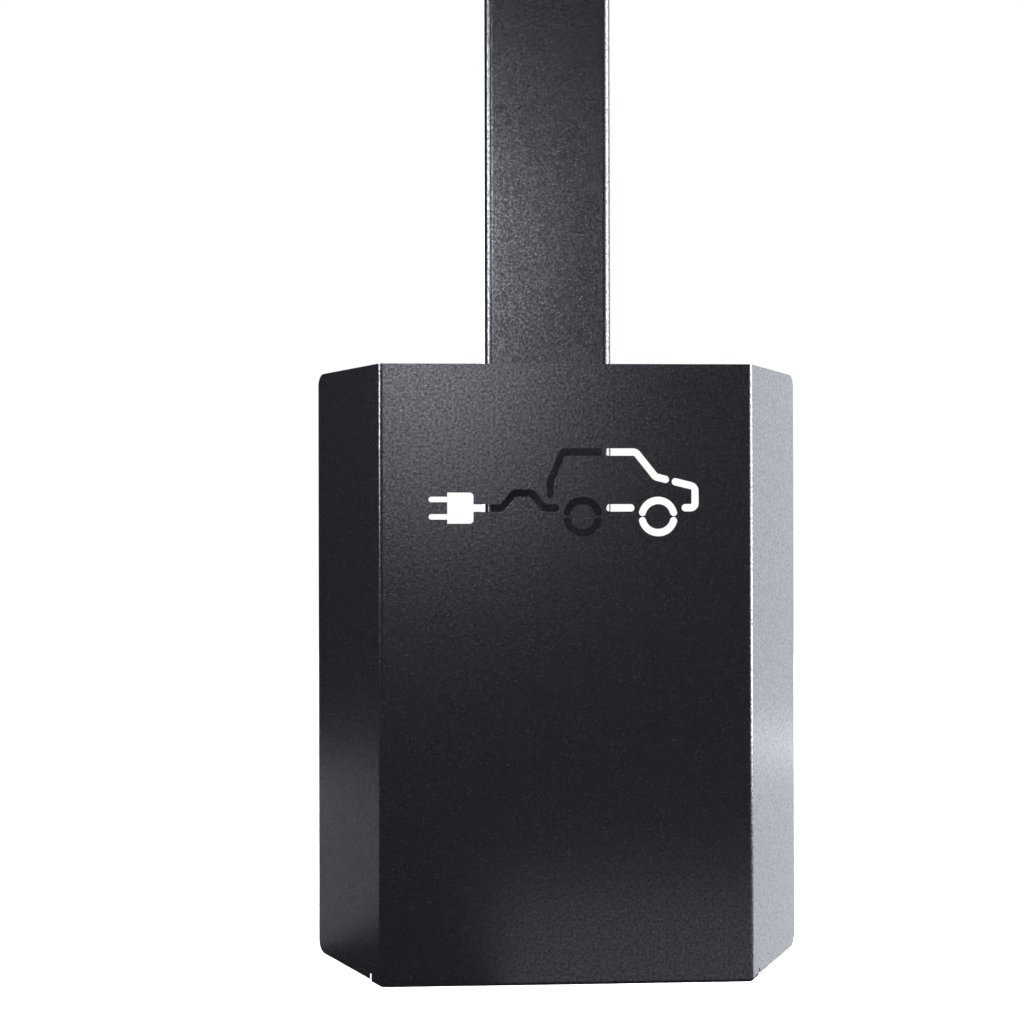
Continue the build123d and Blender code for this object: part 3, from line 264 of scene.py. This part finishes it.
class ViewSettings(bpy.types.PropertyGroup):
    """Where the camera stands and how it looks at the post."""

    place: bpy.props.FloatVectorProperty(
        name="Place", description="Where the camera stands", default=(-0.0968, -1.4784, 0.4211),
        subtype="TRANSLATION", unit="LENGTH")
    turn: bpy.props.FloatProperty(
        name="Turn", description="How far the camera looks to the right of straight ahead",
        default=math.radians(2.511), subtype="ANGLE")
    tilt: bpy.props.FloatProperty(
        name="Tilt", description="How far the camera looks up", default=math.radians(0.224),
        subtype="ANGLE")
    roll: bpy.props.FloatProperty(
        name="Roll", description="How far the camera leans", default=math.radians(-0.118), subtype="ANGLE")
    lens: bpy.props.FloatProperty(
        name="Lens", description="Focal length on a 36 mm sensor", default=52.73, min=10.0)


class StageSettings(bpy.types.PropertyGroup):
    """The floor, the room and the studio's lights."""

    floor_radius: bpy.props.FloatProperty(
        name="Floor Radius", description="Radius of the round floor", default=14.0, unit="LENGTH")
    floor_glow: bpy.props.FloatProperty(
        name="Floor Glow", description="Light that the paper gives near the post; it rises to white",
        default=0.62)
    room_light: bpy.props.FloatProperty(
        name="Room Light", description="Brightness of the room where no light hangs", default=0.02)
    brightness: bpy.props.FloatProperty(
        name="Brightness", description="Multiplies every light's power", default=1.0, min=0.0)
    lamp_colour: bpy.props.FloatVectorProperty(
        name="Lamp Colour", description="Colour of the studio's lights", default=srgb("f3f6ff")[:3],
        subtype="COLOR", min=0.0, max=1.0)


class ColourSettings(bpy.types.PropertyGroup):
    """The colours that a buyer would choose."""

    coat_dark: bpy.props.FloatVectorProperty(
        name="Coat, Dark", description="Powder coat in the pits of its texture", default=srgb("090a0b")[:3],
        subtype="COLOR", min=0.0, max=1.0)
    coat_light: bpy.props.FloatVectorProperty(
        name="Coat, Light", description="Powder coat on the tops of its texture",
        default=srgb("0f1012")[:3], subtype="COLOR", min=0.0, max=1.0)
    status_glow: bpy.props.FloatVectorProperty(
        name="Status Light", description="Light that the status light gives", default=srgb("5fe08a")[:3],
        subtype="COLOR", min=0.0, max=1.0)


class DetailSettings(bpy.types.PropertyGroup):
    """Sizes of the small pieces."""

    edge_radius: bpy.props.FloatProperty(
        name="Edge Radius", description="How round the coating leaves a sheared edge", default=0.35 * MM,
        unit="LENGTH", precision=5)
    weld_width: bpy.props.FloatProperty(
        name="Weld Width", description="Width of a weld bead", default=5.0 * MM, unit="LENGTH", precision=5)
    weld_pitch: bpy.props.FloatProperty(
        name="Weld Pitch", description="Distance from one ripple of a weld bead to the next",
        default=2.2 * MM, unit="LENGTH", precision=5)
    slot_width: bpy.props.FloatProperty(
        name="Slot Width", description="Width of a clamp screw's slot, as a share of its radius",
        default=0.3)
    rib_height: bpy.props.FloatProperty(
        name="Rib Height", description="How far a moulded rib stands out", default=0.4 * MM, unit="LENGTH",
        precision=5)


# ---- The camera and the stage -------------------------------------------------------------------

class PlaceCamera(bpy.types.Operator):
    """Places the camera in front of the post"""

    bl_idname = "charging_post.place_camera"
    bl_label = "Camera"

    def execute(self, context):
        settings = context.scene.charging_post_view
        camera = bpy.data.objects.new("camera", bpy.data.cameras.new("camera"))
        context.scene.collection.objects.link(camera)
        camera.data.lens = settings.lens
        camera.data.clip_end = 60.0
        aim = Euler((math.pi / 2 + settings.tilt, 0.0, -settings.turn)).to_matrix().to_4x4()
        lean = Matrix.Rotation(settings.roll, 4, "Z")
        camera.matrix_world = Matrix.Translation(settings.place) @ aim @ lean
        context.scene.camera = camera
        return {"FINISHED"}


# The lamp rig. Radiance is a lamp's brightness, where white paper in full light is about 1. Angles go round
# the post from straight in front of it, to the right when positive. Lengths are in metres.
RING_CENTRE = Vector((0.0, -0.2, 0.0))
RING_RADIUS = 1.5
# Upright strips on the ring: angle, height of the middle, width, height, radiance.
STRIPS = {
    "left_front": (-55, 1.10, 0.25, 0.60, 34.0),
    "left_side": (-76, 0.93, 0.25, 0.86, 60.0),
    "right_front": (60, 0.85, 0.30, 1.70, 9.0),
    "right_side": (75, 0.85, 0.30, 1.70, 40.0),
    "right_middle": (90, 0.85, 0.30, 1.70, 45.0),
    "right_back": (105, 0.85, 0.34, 1.70, 9.0),
    "right_rear": (128, 0.75, 0.75, 1.50, 2.2),
}
# Square panels behind the camera, turned to the middle of the shield: place across, height, radiance.
PANEL_DISTANCE, PANEL_SIZE = 2.6, 0.4
PANEL_TARGET = (0.0, -0.27, 0.45)
PANELS = {
    "front_key": (-0.55, 1.30, 33.0),
    "front_middle": (-0.15, 1.15, 11.0),
    "front_low": (-0.15, 0.70, 6.5),
}
# Cards that lie on the floor and face up, for the light that paper throws: place, size, radiance.
CARD_HEIGHT = 0.012
CARDS = {
    "front_floor": (0.20, -0.52, 0.50, 0.40, 0.8),
    "left_floor": (-0.75, 0.35, 0.90, 0.90, 0.45),
    "right_floor": (0.80, 0.35, 1.15, 1.25, 2.3),
    "rear_floor": (0.10, 1.10, 2.20, 1.40, 0.8),
}
# Large lamps for the back and the top: place, target, width, height, radiance.
LARGE_LAMPS = {
    "rear_soft": ((0.1, 3.0, 1.3), (0.0, 0.0, 0.75), 2.2, 2.0, 5.0),
    "top_soft": ((0.0, 0.5, 3.2), (0.0, 0.1, 0.0), 2.0, 2.0, 2.5),
}


def lamps():
    """Name, place, target, width, height and radiance of each lamp."""
    for name, (angle, height, width, tall, radiance) in STRIPS.items():
        turn = math.radians(angle)
        middle_of_ring = RING_CENTRE + Vector((0.0, 0.0, height))
        out = Vector((math.sin(turn), -math.cos(turn), 0.0))
        yield name, middle_of_ring + RING_RADIUS * out, middle_of_ring, width, tall, radiance
    for name, (across, height, radiance) in PANELS.items():
        yield name, (across, -PANEL_DISTANCE, height), PANEL_TARGET, PANEL_SIZE, PANEL_SIZE, radiance
    for name, (across, back, width, deep, radiance) in CARDS.items():
        yield name, (across, back, CARD_HEIGHT), (across, back, 1.0), width, deep, radiance
    for name, lamp in LARGE_LAMPS.items():
        yield name, *lamp


class BuildStage(bpy.types.Operator):
    """Lays a pale floor and hangs the studio's soft lights"""

    bl_idname = "charging_post.build_stage"
    bl_label = "Stage"

    def execute(self, context):
        settings = context.scene.charging_post_stage
        self.lay_floor(context, settings)
        self.light_room(context, settings)
        for lamp in lamps():
            self.hang_light(context, settings, *lamp)
        context.scene.view_settings.view_transform = "Standard"
        return {"FINISHED"}

    def lay_floor(self, context, settings):
        """White studio paper, whose own glow keeps it white as far as it reaches."""
        shape = bmesh.new()
        bmesh.ops.create_circle(shape, cap_ends=True, radius=settings.floor_radius, segments=96)
        mesh = bpy.data.meshes.new("floor")
        shape.to_mesh(mesh)
        shape.free()
        floor = bpy.data.objects.new("floor", mesh)
        context.scene.collection.objects.link(floor)
        paper = grained("studio_paper_white", 60.0, ("ededeb", "f3f3f1"), (0.85, 0.95), Specular_IOR_Level=0.0,
                        Emission_Color=srgb("ffffff"))
        tree = paper.node_tree
        place = tree.nodes["Texture Coordinate"].outputs["Object"]
        away = node(tree, "ShaderNodeVectorMath", {0: place}, operation="LENGTH").outputs["Value"]
        glow = node(tree, "ShaderNodeMapRange", {
            "Value": away, "From Min": 0.7, "From Max": 3.0, "To Min": settings.floor_glow, "To Max": 1.0})
        tree.links.new(glow.outputs["Result"], tree.nodes["Principled BSDF"].inputs["Emission Strength"])
        mesh.materials.append(paper)
        # The paper stays out of reflections, so that the dark coating keeps its depth.
        floor.visible_glossy = False

    def light_room(self, context, settings):
        """A white room to look at, and a dim one to be lit by."""
        world = bpy.data.worlds.new("studio")
        world.use_nodes = True
        context.scene.world = world
        tree = world.node_tree
        seen = node(tree, "ShaderNodeLightPath").outputs["Is Camera Ray"]
        strength = node(tree, "ShaderNodeMapRange", {
            "Value": seen, "To Min": settings.room_light, "To Max": 1.0})
        background = tree.nodes["Background"]
        background.inputs["Color"].default_value = srgb("ffffff")
        tree.links.new(strength.outputs["Result"], background.inputs["Strength"])

    def hang_light(self, context, settings, name, place, target, width, height, radiance):
        """A rectangular light that only its light and its reflections show."""
        light = bpy.data.objects.new(name, bpy.data.lights.new(name, "AREA"))
        light.data.shape = "RECTANGLE"
        light.data.size, light.data.size_y = width, height
        light.data.energy = math.pi * width * height * radiance * settings.brightness
        light.data.color = settings.lamp_colour
        light.location = place
        light.rotation_euler = (Vector(target) - Vector(place)).to_track_quat("-Z", "Y").to_euler()
        light.visible_camera = False
        context.scene.collection.objects.link(light)


# ---- Finishes and softened edges on the CAD's pieces ------------------------------------------------

class FinishNodes(bpy.types.Operator):
    """Gives each CAD node the material of its slot"""

    bl_idname = "charging_post.finish_nodes"
    bl_label = "Finishes"

    def execute(self, context):
        for part in frame["record"]["subparts"]:
            piece = nodes[part["node"]]
            piece.data.materials.clear()
            piece.data.materials.append(finish(part["material_slot"]))
        return {"FINISHED"}


class SoftenSheetMetal(bpy.types.Operator):
    """Stands a copy with coating-rounded edges in the place of each coated sheet and plate"""

    bl_idname = "charging_post.soften_sheet_metal"
    bl_label = "Sheet Metal"

    pieces = {
        "shield": ("folded_shield", "post"),
        "column": ("column_tube", "post"),
        "base_plate": ("foot_plate", "post"),
        "base_gussets": ("gusset_plates", "post"),
        "drum_back_plate": ("drum_plate", "post"),
        "service_door": ("door_pan", "door"),
    }

    def execute(self, context):
        radius = context.scene.charging_post_details.edge_radius
        for source, (name, body) in self.pieces.items():
            self.soften(context, source, name, body, radius)
        return {"FINISHED"}

    def soften(self, context, source, name, body, radius):
        shape = bmesh.new()
        shape.from_mesh(nodes[source].data)
        bmesh.ops.remove_doubles(shape, verts=shape.verts, dist=0.005 * MM)
        bmesh.ops.dissolve_limit(shape, angle_limit=math.radians(0.3), verts=shape.verts, edges=shape.edges)
        mesh = bpy.data.meshes.new(name)
        shape.to_mesh(mesh)
        shape.free()
        mesh.materials.clear()
        mesh.materials.append(finish("black_powder_coat"))
        piece = bpy.data.objects.new(name, mesh)
        context.scene.collection.objects.link(piece)
        mesh.shade_smooth()
        edges = piece.modifiers.new("edges", "BEVEL")
        edges.width, edges.segments = radius, 2
        edges.limit_method, edges.angle_limit = "ANGLE", math.radians(40)
        shading = piece.modifiers.new("shading", "WEIGHTED_NORMAL")
        shading.weight = 100
        settle(piece)
        join_object(piece, body)
        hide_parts(source)


# ---- Pieces that repeat or follow a path ------------------------------------------------------------

def start_tree(name, sizes):
    """Makes a geometry tree with a mesh, named sizes and a material to put in. Gives the tree and inputs."""
    tree = bpy.data.node_groups.new(name, "GeometryNodeTree")
    tree.interface.new_socket("Mesh", in_out="INPUT", socket_type="NodeSocketGeometry")
    tree.interface.new_socket("Made", in_out="OUTPUT", socket_type="NodeSocketGeometry")
    for size, value in sizes.items():
        tree.interface.new_socket(size, in_out="INPUT", socket_type="NodeSocketFloat").default_value = value
    tree.interface.new_socket("Finish", in_out="INPUT", socket_type="NodeSocketMaterial")
    return tree, node(tree, "NodeGroupInput").outputs


def end_tree(tree, inputs, geometry):
    """Makes the instances real and gives them the finish."""
    real = node(tree, "GeometryNodeRealizeInstances", {"Geometry": geometry}).outputs["Geometry"]
    painted = node(tree, "GeometryNodeSetMaterial", {"Geometry": real, "Material": inputs["Finish"]})
    node(tree, "NodeGroupOutput", {"Made": painted.outputs["Geometry"]})


def grow(context, name, mesh, tree, body, slot, sizes):
    """A piece that a geometry tree makes from a mesh, as a plain mesh that rides on a body."""
    piece = bpy.data.objects.new(name, mesh)
    context.scene.collection.objects.link(piece)
    grower = piece.modifiers.new("grow", "NODES")
    grower.node_group = tree
    values = {**sizes, "Finish": finish(slot)}
    for socket in tree.interface.items_tree:
        if socket.in_out == "INPUT" and socket.name in values:
            grower[socket.identifier] = values[socket.name]
    settle(piece)
    join_object(piece, body)
    return piece


class LayWelds(bpy.types.Operator):
    """Lays rippled weld beads round the column's foot, the gussets and the drum"""

    bl_idname = "charging_post.lay_welds"
    bl_label = "Welds"

    def execute(self, context):
        settings = context.scene.charging_post_details
        tree = self.bead_tree()
        paths = [self.round_square(), *self.gusset_sides(), self.drum_ring()]
        points, edges = [], []
        for path in paths:
            first = len(points)
            points += path
            edges += [(first + n, first + n + 1) for n in range(len(path) - 1)]
        mesh = mesh_of("weld_beads", points, edges)
        grow(context, "weld_beads", mesh, tree, "post", "black_powder_coat",
             {"Width": settings.weld_width, "Pitch": settings.weld_pitch})
        return {"FINISHED"}

    def bead_tree(self):
        tree, inputs = start_tree("weld_bead", {"Width": 5 * MM, "Pitch": 2.2 * MM})
        path = node(tree, "GeometryNodeMeshToCurve", {"Mesh": inputs["Mesh"]}).outputs["Curve"]
        along = node(tree, "GeometryNodeCurveToPoints", {"Curve": path, "Length": inputs["Pitch"]},
                     mode="LENGTH")
        radius = node(tree, "ShaderNodeMath", {0: inputs["Width"], 1: 0.5}, operation="MULTIPLY").outputs[0]
        ripple = node(tree, "GeometryNodeMeshUVSphere", {"Segments": 10, "Rings": 6, "Radius": radius})
        size = node(tree, "FunctionNodeRandomValue", {2: 0.9, 3: 1.08, "Seed": 4},
                    data_type="FLOAT").outputs[1]
        laid = node(tree, "GeometryNodeInstanceOnPoints", {
            "Points": along.outputs["Points"], "Instance": ripple.outputs["Mesh"],
            "Rotation": along.outputs["Rotation"], "Scale": size})
        end_tree(tree, inputs, laid.outputs["Instances"])
        return tree

    def round_square(self):
        """Round the column where it stands on the foot."""
        low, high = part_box("column")
        half, corner = high.x, 8 * MM
        path = []
        for quarter in range(4):
            turn = math.pi / 2 * quarter
            for step in range(5):
                angle = turn + math.pi / 2 * step / 4
                centre = Vector((half - corner, half - corner, 0)).xy
                centre.rotate(Matrix.Rotation(turn, 2))
                path.append((
                    centre.x + corner * math.cos(angle), centre.y + corner * math.sin(angle), low.z))
        return [*path, path[0]]

    def gusset_sides(self):
        """Down each side of each gusset, from the column to the foot's rim."""
        low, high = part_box("base_gussets")
        face, half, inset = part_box("column")[1].x, 3 * MM, 2 * MM
        paths = []
        for quarter in range(4):
            turn = Matrix.Rotation(math.pi / 2 * quarter, 3, "Z")
            for side in (-half, half):
                corners = [
                    (face, side, high.z - inset), (face, side, low.z), (high.x - inset, side, low.z)]
                paths.append([tuple(turn @ Vector(corner)) for corner in corners])
        return paths

    def drum_ring(self):
        """Round the drum where it stands on its plate."""
        centre, radius = middle("drum_shell"), 65 * MM
        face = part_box("drum_back_plate")[0].y
        angles = [2 * math.pi * n / 96 for n in range(97)]
        return [(radius * math.cos(angle), face, centre.z + radius * math.sin(angle)) for angle in angles]


class SetClampScrews(bpy.types.Operator):
    """Sets a slotted clamp screw in each well of the switchgear and the outlet's terminal block"""

    bl_idname = "charging_post.set_clamp_screws"
    bl_label = "Clamp Screws"

    def execute(self, context):
        settings = context.scene.charging_post_details
        tree = self.screw_tree()
        wells = self.wells()
        mesh = mesh_of("clamp_screws", [place for place, radius in wells])
        radii = mesh.attributes.new("radius", "FLOAT", "POINT")
        radii.data.foreach_set("value", [radius for place, radius in wells])
        grow(context, "clamp_screws", mesh, tree, "post", "zinc_plate", {"Slot": settings.slot_width})
        return {"FINISHED"}

    def screw_tree(self):
        """A slotted cheese head on each point, facing the service door, each turned its own way."""
        tree, inputs = start_tree("clamp_screw", {"Slot": 0.3})
        head = node(tree, "GeometryNodeMeshCylinder", {"Vertices": 24, "Radius": 1.0, "Depth": 1.2})
        cut = node(tree, "ShaderNodeCombineXYZ", {"X": 3.0, "Y": inputs["Slot"], "Z": 0.8})
        blade = node(tree, "GeometryNodeMeshCube", {"Size": cut.outputs["Vector"]})
        raised = node(tree, "GeometryNodeTransform", {
            "Geometry": blade.outputs["Mesh"], "Translation": (0.0, 0.0, 0.6)})
        slotted = node(tree, "GeometryNodeMeshBoolean", {
            0: head.outputs["Mesh"], 1: raised.outputs["Geometry"]}, operation="DIFFERENCE")
        turn = node(tree, "FunctionNodeRandomValue", {2: 0.0, 3: math.pi, "Seed": 7},
                    data_type="FLOAT").outputs[1]
        spin = node(tree, "ShaderNodeCombineXYZ", {"X": -math.pi / 2, "Z": 0.0, "Y": turn})
        size = node(tree, "GeometryNodeInputNamedAttribute", {"Name": "radius"}, data_type="FLOAT")
        laid = node(tree, "GeometryNodeInstanceOnPoints", {
            "Points": inputs["Mesh"], "Instance": slotted.outputs["Mesh"], "Rotation": spin.outputs["Vector"],
            "Scale": size.outputs["Attribute"]})
        end_tree(tree, inputs, laid.outputs["Instances"])
        return tree

    def wells(self):
        """The middle of each screw's head, and its radius."""
        wells = []
        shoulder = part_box("breaker")[1].y - 18 * MM
        floor = shoulder - 8.6 * MM
        rows = {"breaker": (-27, -9, 9, 27), "energy_meter": (-27, -9, 9, 27),
                "contactor": (-31.7, -22.7, -13.7, -4.7), "phase_terminal_blocks": (-24, -12, 0),
                "neutral_terminal_block": (12,), "earth_terminal_block": (24,)}
        for name, poles in rows.items():
            low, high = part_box(name)
            for height in (low.z + 9 * MM, high.z - 9 * MM):
                wells += [((pole * MM, floor, height), 2.6 * MM) for pole in poles]
        low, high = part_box("controller_connectors")
        across = (low.x + high.x) / 2
        for height in (low.z + 7 * MM, high.z - 7 * MM):
            wells += [((across + 5 * MM * n, high.y - 1.3 * MM, height), 1.4 * MM) for n in range(-2, 3)]
        low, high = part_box("outlet_terminal_block")
        wells += [((12 * MM * n, high.y - 8.6 * MM, low.z + 12 * MM), 2.6 * MM) for n in range(-2, 3)]
        return wells


class RibHousings(bpy.types.Operator):
    """Moulds grip ribs on the lid's finger grip and on the contactor's and the controller's faces"""

    bl_idname = "charging_post.rib_housings"
    bl_label = "Ribs"

    def execute(self, context):
        settings = context.scene.charging_post_details
        tree = self.rib_tree()
        lid_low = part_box("outlet_lid")[0]
        sizes = {"Length": 5 * MM, "Width": 1 * MM, "Height": 2 * settings.rib_height}
        grips = [(2.6 * MM * n, lid_low.y, 1123 * MM) for n in range(-3, 4)]
        grow(context, "lid_grip_ribs", mesh_of("lid_grip_ribs", grips), tree, "lid", "black_plastic", sizes)
        sizes = {"Length": 1.2 * MM, "Width": 24 * MM, "Height": 2 * settings.rib_height}
        for name in ("contactor", "charge_controller"):
            low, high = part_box(name)
            across, base = (low.x + high.x) / 2, (low.z + high.z) / 2 - 17 * MM
            rows = [(across, high.y, base + 3 * MM * n) for n in range(7)]
            ribs = f"{name}_ribs"
            grow(context, ribs, mesh_of(ribs, rows), tree, "post", "housing_grey", sizes)
        return {"FINISHED"}

    def rib_tree(self):
        """A small bar with rounded ends on each point. It is half sunk in the face that it stands on."""
        tree, inputs = start_tree("rib", {"Length": 5 * MM, "Width": 1 * MM, "Height": 0.8 * MM})
        size = node(tree, "ShaderNodeCombineXYZ", {
            "X": inputs["Width"], "Y": inputs["Height"], "Z": inputs["Length"]}).outputs["Vector"]
        bar = node(tree, "GeometryNodeMeshCube", {
            "Size": size, "Vertices X": 3, "Vertices Y": 3, "Vertices Z": 3})
        smooth = node(tree, "GeometryNodeSubdivisionSurface", {"Mesh": bar.outputs["Mesh"], "Level": 1})
        laid = node(tree, "GeometryNodeInstanceOnPoints", {
            "Points": inputs["Mesh"], "Instance": smooth.outputs["Mesh"]})
        end_tree(tree, inputs, laid.outputs["Instances"])
        return tree


class WindSpring(bpy.types.Operator):
    """Winds the lid's torsion spring round its pin"""

    bl_idname = "charging_post.wind_spring"
    bl_label = "Spring"

    def execute(self, context):
        low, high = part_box("lid_spring")
        wire = 0.45 * MM
        sizes = {"Wire": wire, "Turns": 8.0, "Radius": (high.z - low.z) / 2 - wire,
                 "Length": high.x - low.x - 2 * wire}
        start = mesh_of("lid_torsion_spring", [(low.x + wire, (low.y + high.y) / 2, (low.z + high.z) / 2)])
        piece = grow(context, "lid_torsion_spring", start, self.spring_tree(), "post", "stainless_steel",
                     sizes)
        piece.data.shade_smooth()
        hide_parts("lid_spring")
        return {"FINISHED"}

    def spring_tree(self):
        """A round wire in a helix along +X from the point."""
        tree, inputs = start_tree("torsion_spring", {
            "Wire": 0.45 * MM, "Turns": 8.0, "Radius": 3 * MM, "Length": 9.6 * MM})
        coil = node(tree, "GeometryNodeCurveSpiral", {
            "Resolution": 28, "Rotations": inputs["Turns"], "Start Radius": inputs["Radius"],
            "End Radius": inputs["Radius"], "Height": inputs["Length"]})
        round_wire = node(tree, "GeometryNodeCurvePrimitiveCircle", {
            "Resolution": 8, "Radius": inputs["Wire"]})
        wound = node(tree, "GeometryNodeCurveToMesh", {
            "Curve": coil.outputs["Curve"], "Profile Curve": round_wire.outputs["Curve"], "Fill Caps": True})
        laid = node(tree, "GeometryNodeInstanceOnPoints", {
            "Points": inputs["Mesh"], "Instance": wound.outputs["Mesh"], "Rotation": (0.0, math.pi / 2, 0.0)})
        end_tree(tree, inputs, laid.outputs["Instances"])
        return tree


class SetLamps(bpy.types.Operator):
    """Sets a small domed lamp in each recess of the charge controller's face"""

    bl_idname = "charging_post.set_lamps"
    bl_label = "Lamps"

    def execute(self, context):
        low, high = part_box("charge_controller")
        across, height = (low.x + high.x) / 2, (low.z + high.z) / 2 + 14 * MM
        places = [(across + 8 * MM * n, high.y - 1 * MM, height) for n in (-1, 0, 1)]
        grow(context, "controller_lamps", mesh_of("controller_lamps", places), self.dome_tree(), "post",
             "frosted_lens", {"Radius": 1.4 * MM})
        return {"FINISHED"}

    def dome_tree(self):
        """A dome on each point, a little taller than half a ball, facing the service door."""
        tree, inputs = start_tree("lamp_dome", {"Radius": 1.4 * MM})
        ball = node(tree, "GeometryNodeMeshUVSphere", {
            "Segments": 20, "Rings": 12, "Radius": inputs["Radius"]})
        laid = node(tree, "GeometryNodeInstanceOnPoints", {
            "Points": inputs["Mesh"], "Instance": ball.outputs["Mesh"], "Scale": (1.0, 1.15, 1.0)})
        end_tree(tree, inputs, laid.outputs["Instances"])
        return tree


# ---- The sidebar and the run ----------------------------------------------------------------------

STEPS = (PlaceCamera, BuildStage, FinishNodes, SoftenSheetMetal, LayWelds, SetClampScrews, RibHousings,
         WindSpring, SetLamps)
SETTINGS = {"charging_post_view": ViewSettings, "charging_post_stage": StageSettings,
            "charging_post_colours": ColourSettings, "charging_post_details": DetailSettings}


class ChargingPostPanel(bpy.types.Panel):
    """Lists the steps that make the post, and the sizes that they read"""

    bl_idname = "VIEW3D_PT_charging_post"
    bl_label = "Charging Post"
    bl_space_type = "VIEW_3D"
    bl_region_type = "UI"
    bl_category = "Charging Post"

    def draw(self, context):
        for step in STEPS:
            self.layout.operator(step.bl_idname)
        for name, group in SETTINGS.items():
            box = self.layout.box()
            for size in group.__annotations__:
                box.prop(getattr(context.scene, name), size)


def register():
    for made in (*SETTINGS.values(), *STEPS, ChargingPostPanel):
        bpy.utils.register_class(made)
    for name, group in SETTINGS.items():
        setattr(bpy.types.Scene, name, bpy.props.PointerProperty(type=group))


def unregister():
    for name in SETTINGS:
        delattr(bpy.types.Scene, name)
    for made in reversed((*SETTINGS.values(), *STEPS, ChargingPostPanel)):
        bpy.utils.unregister_class(made)


def main():
    register()
    for step in STEPS:
        getattr(bpy.ops.charging_post, step.bl_idname.split(".")[1])()


if __name__ == "__main__":
    main()
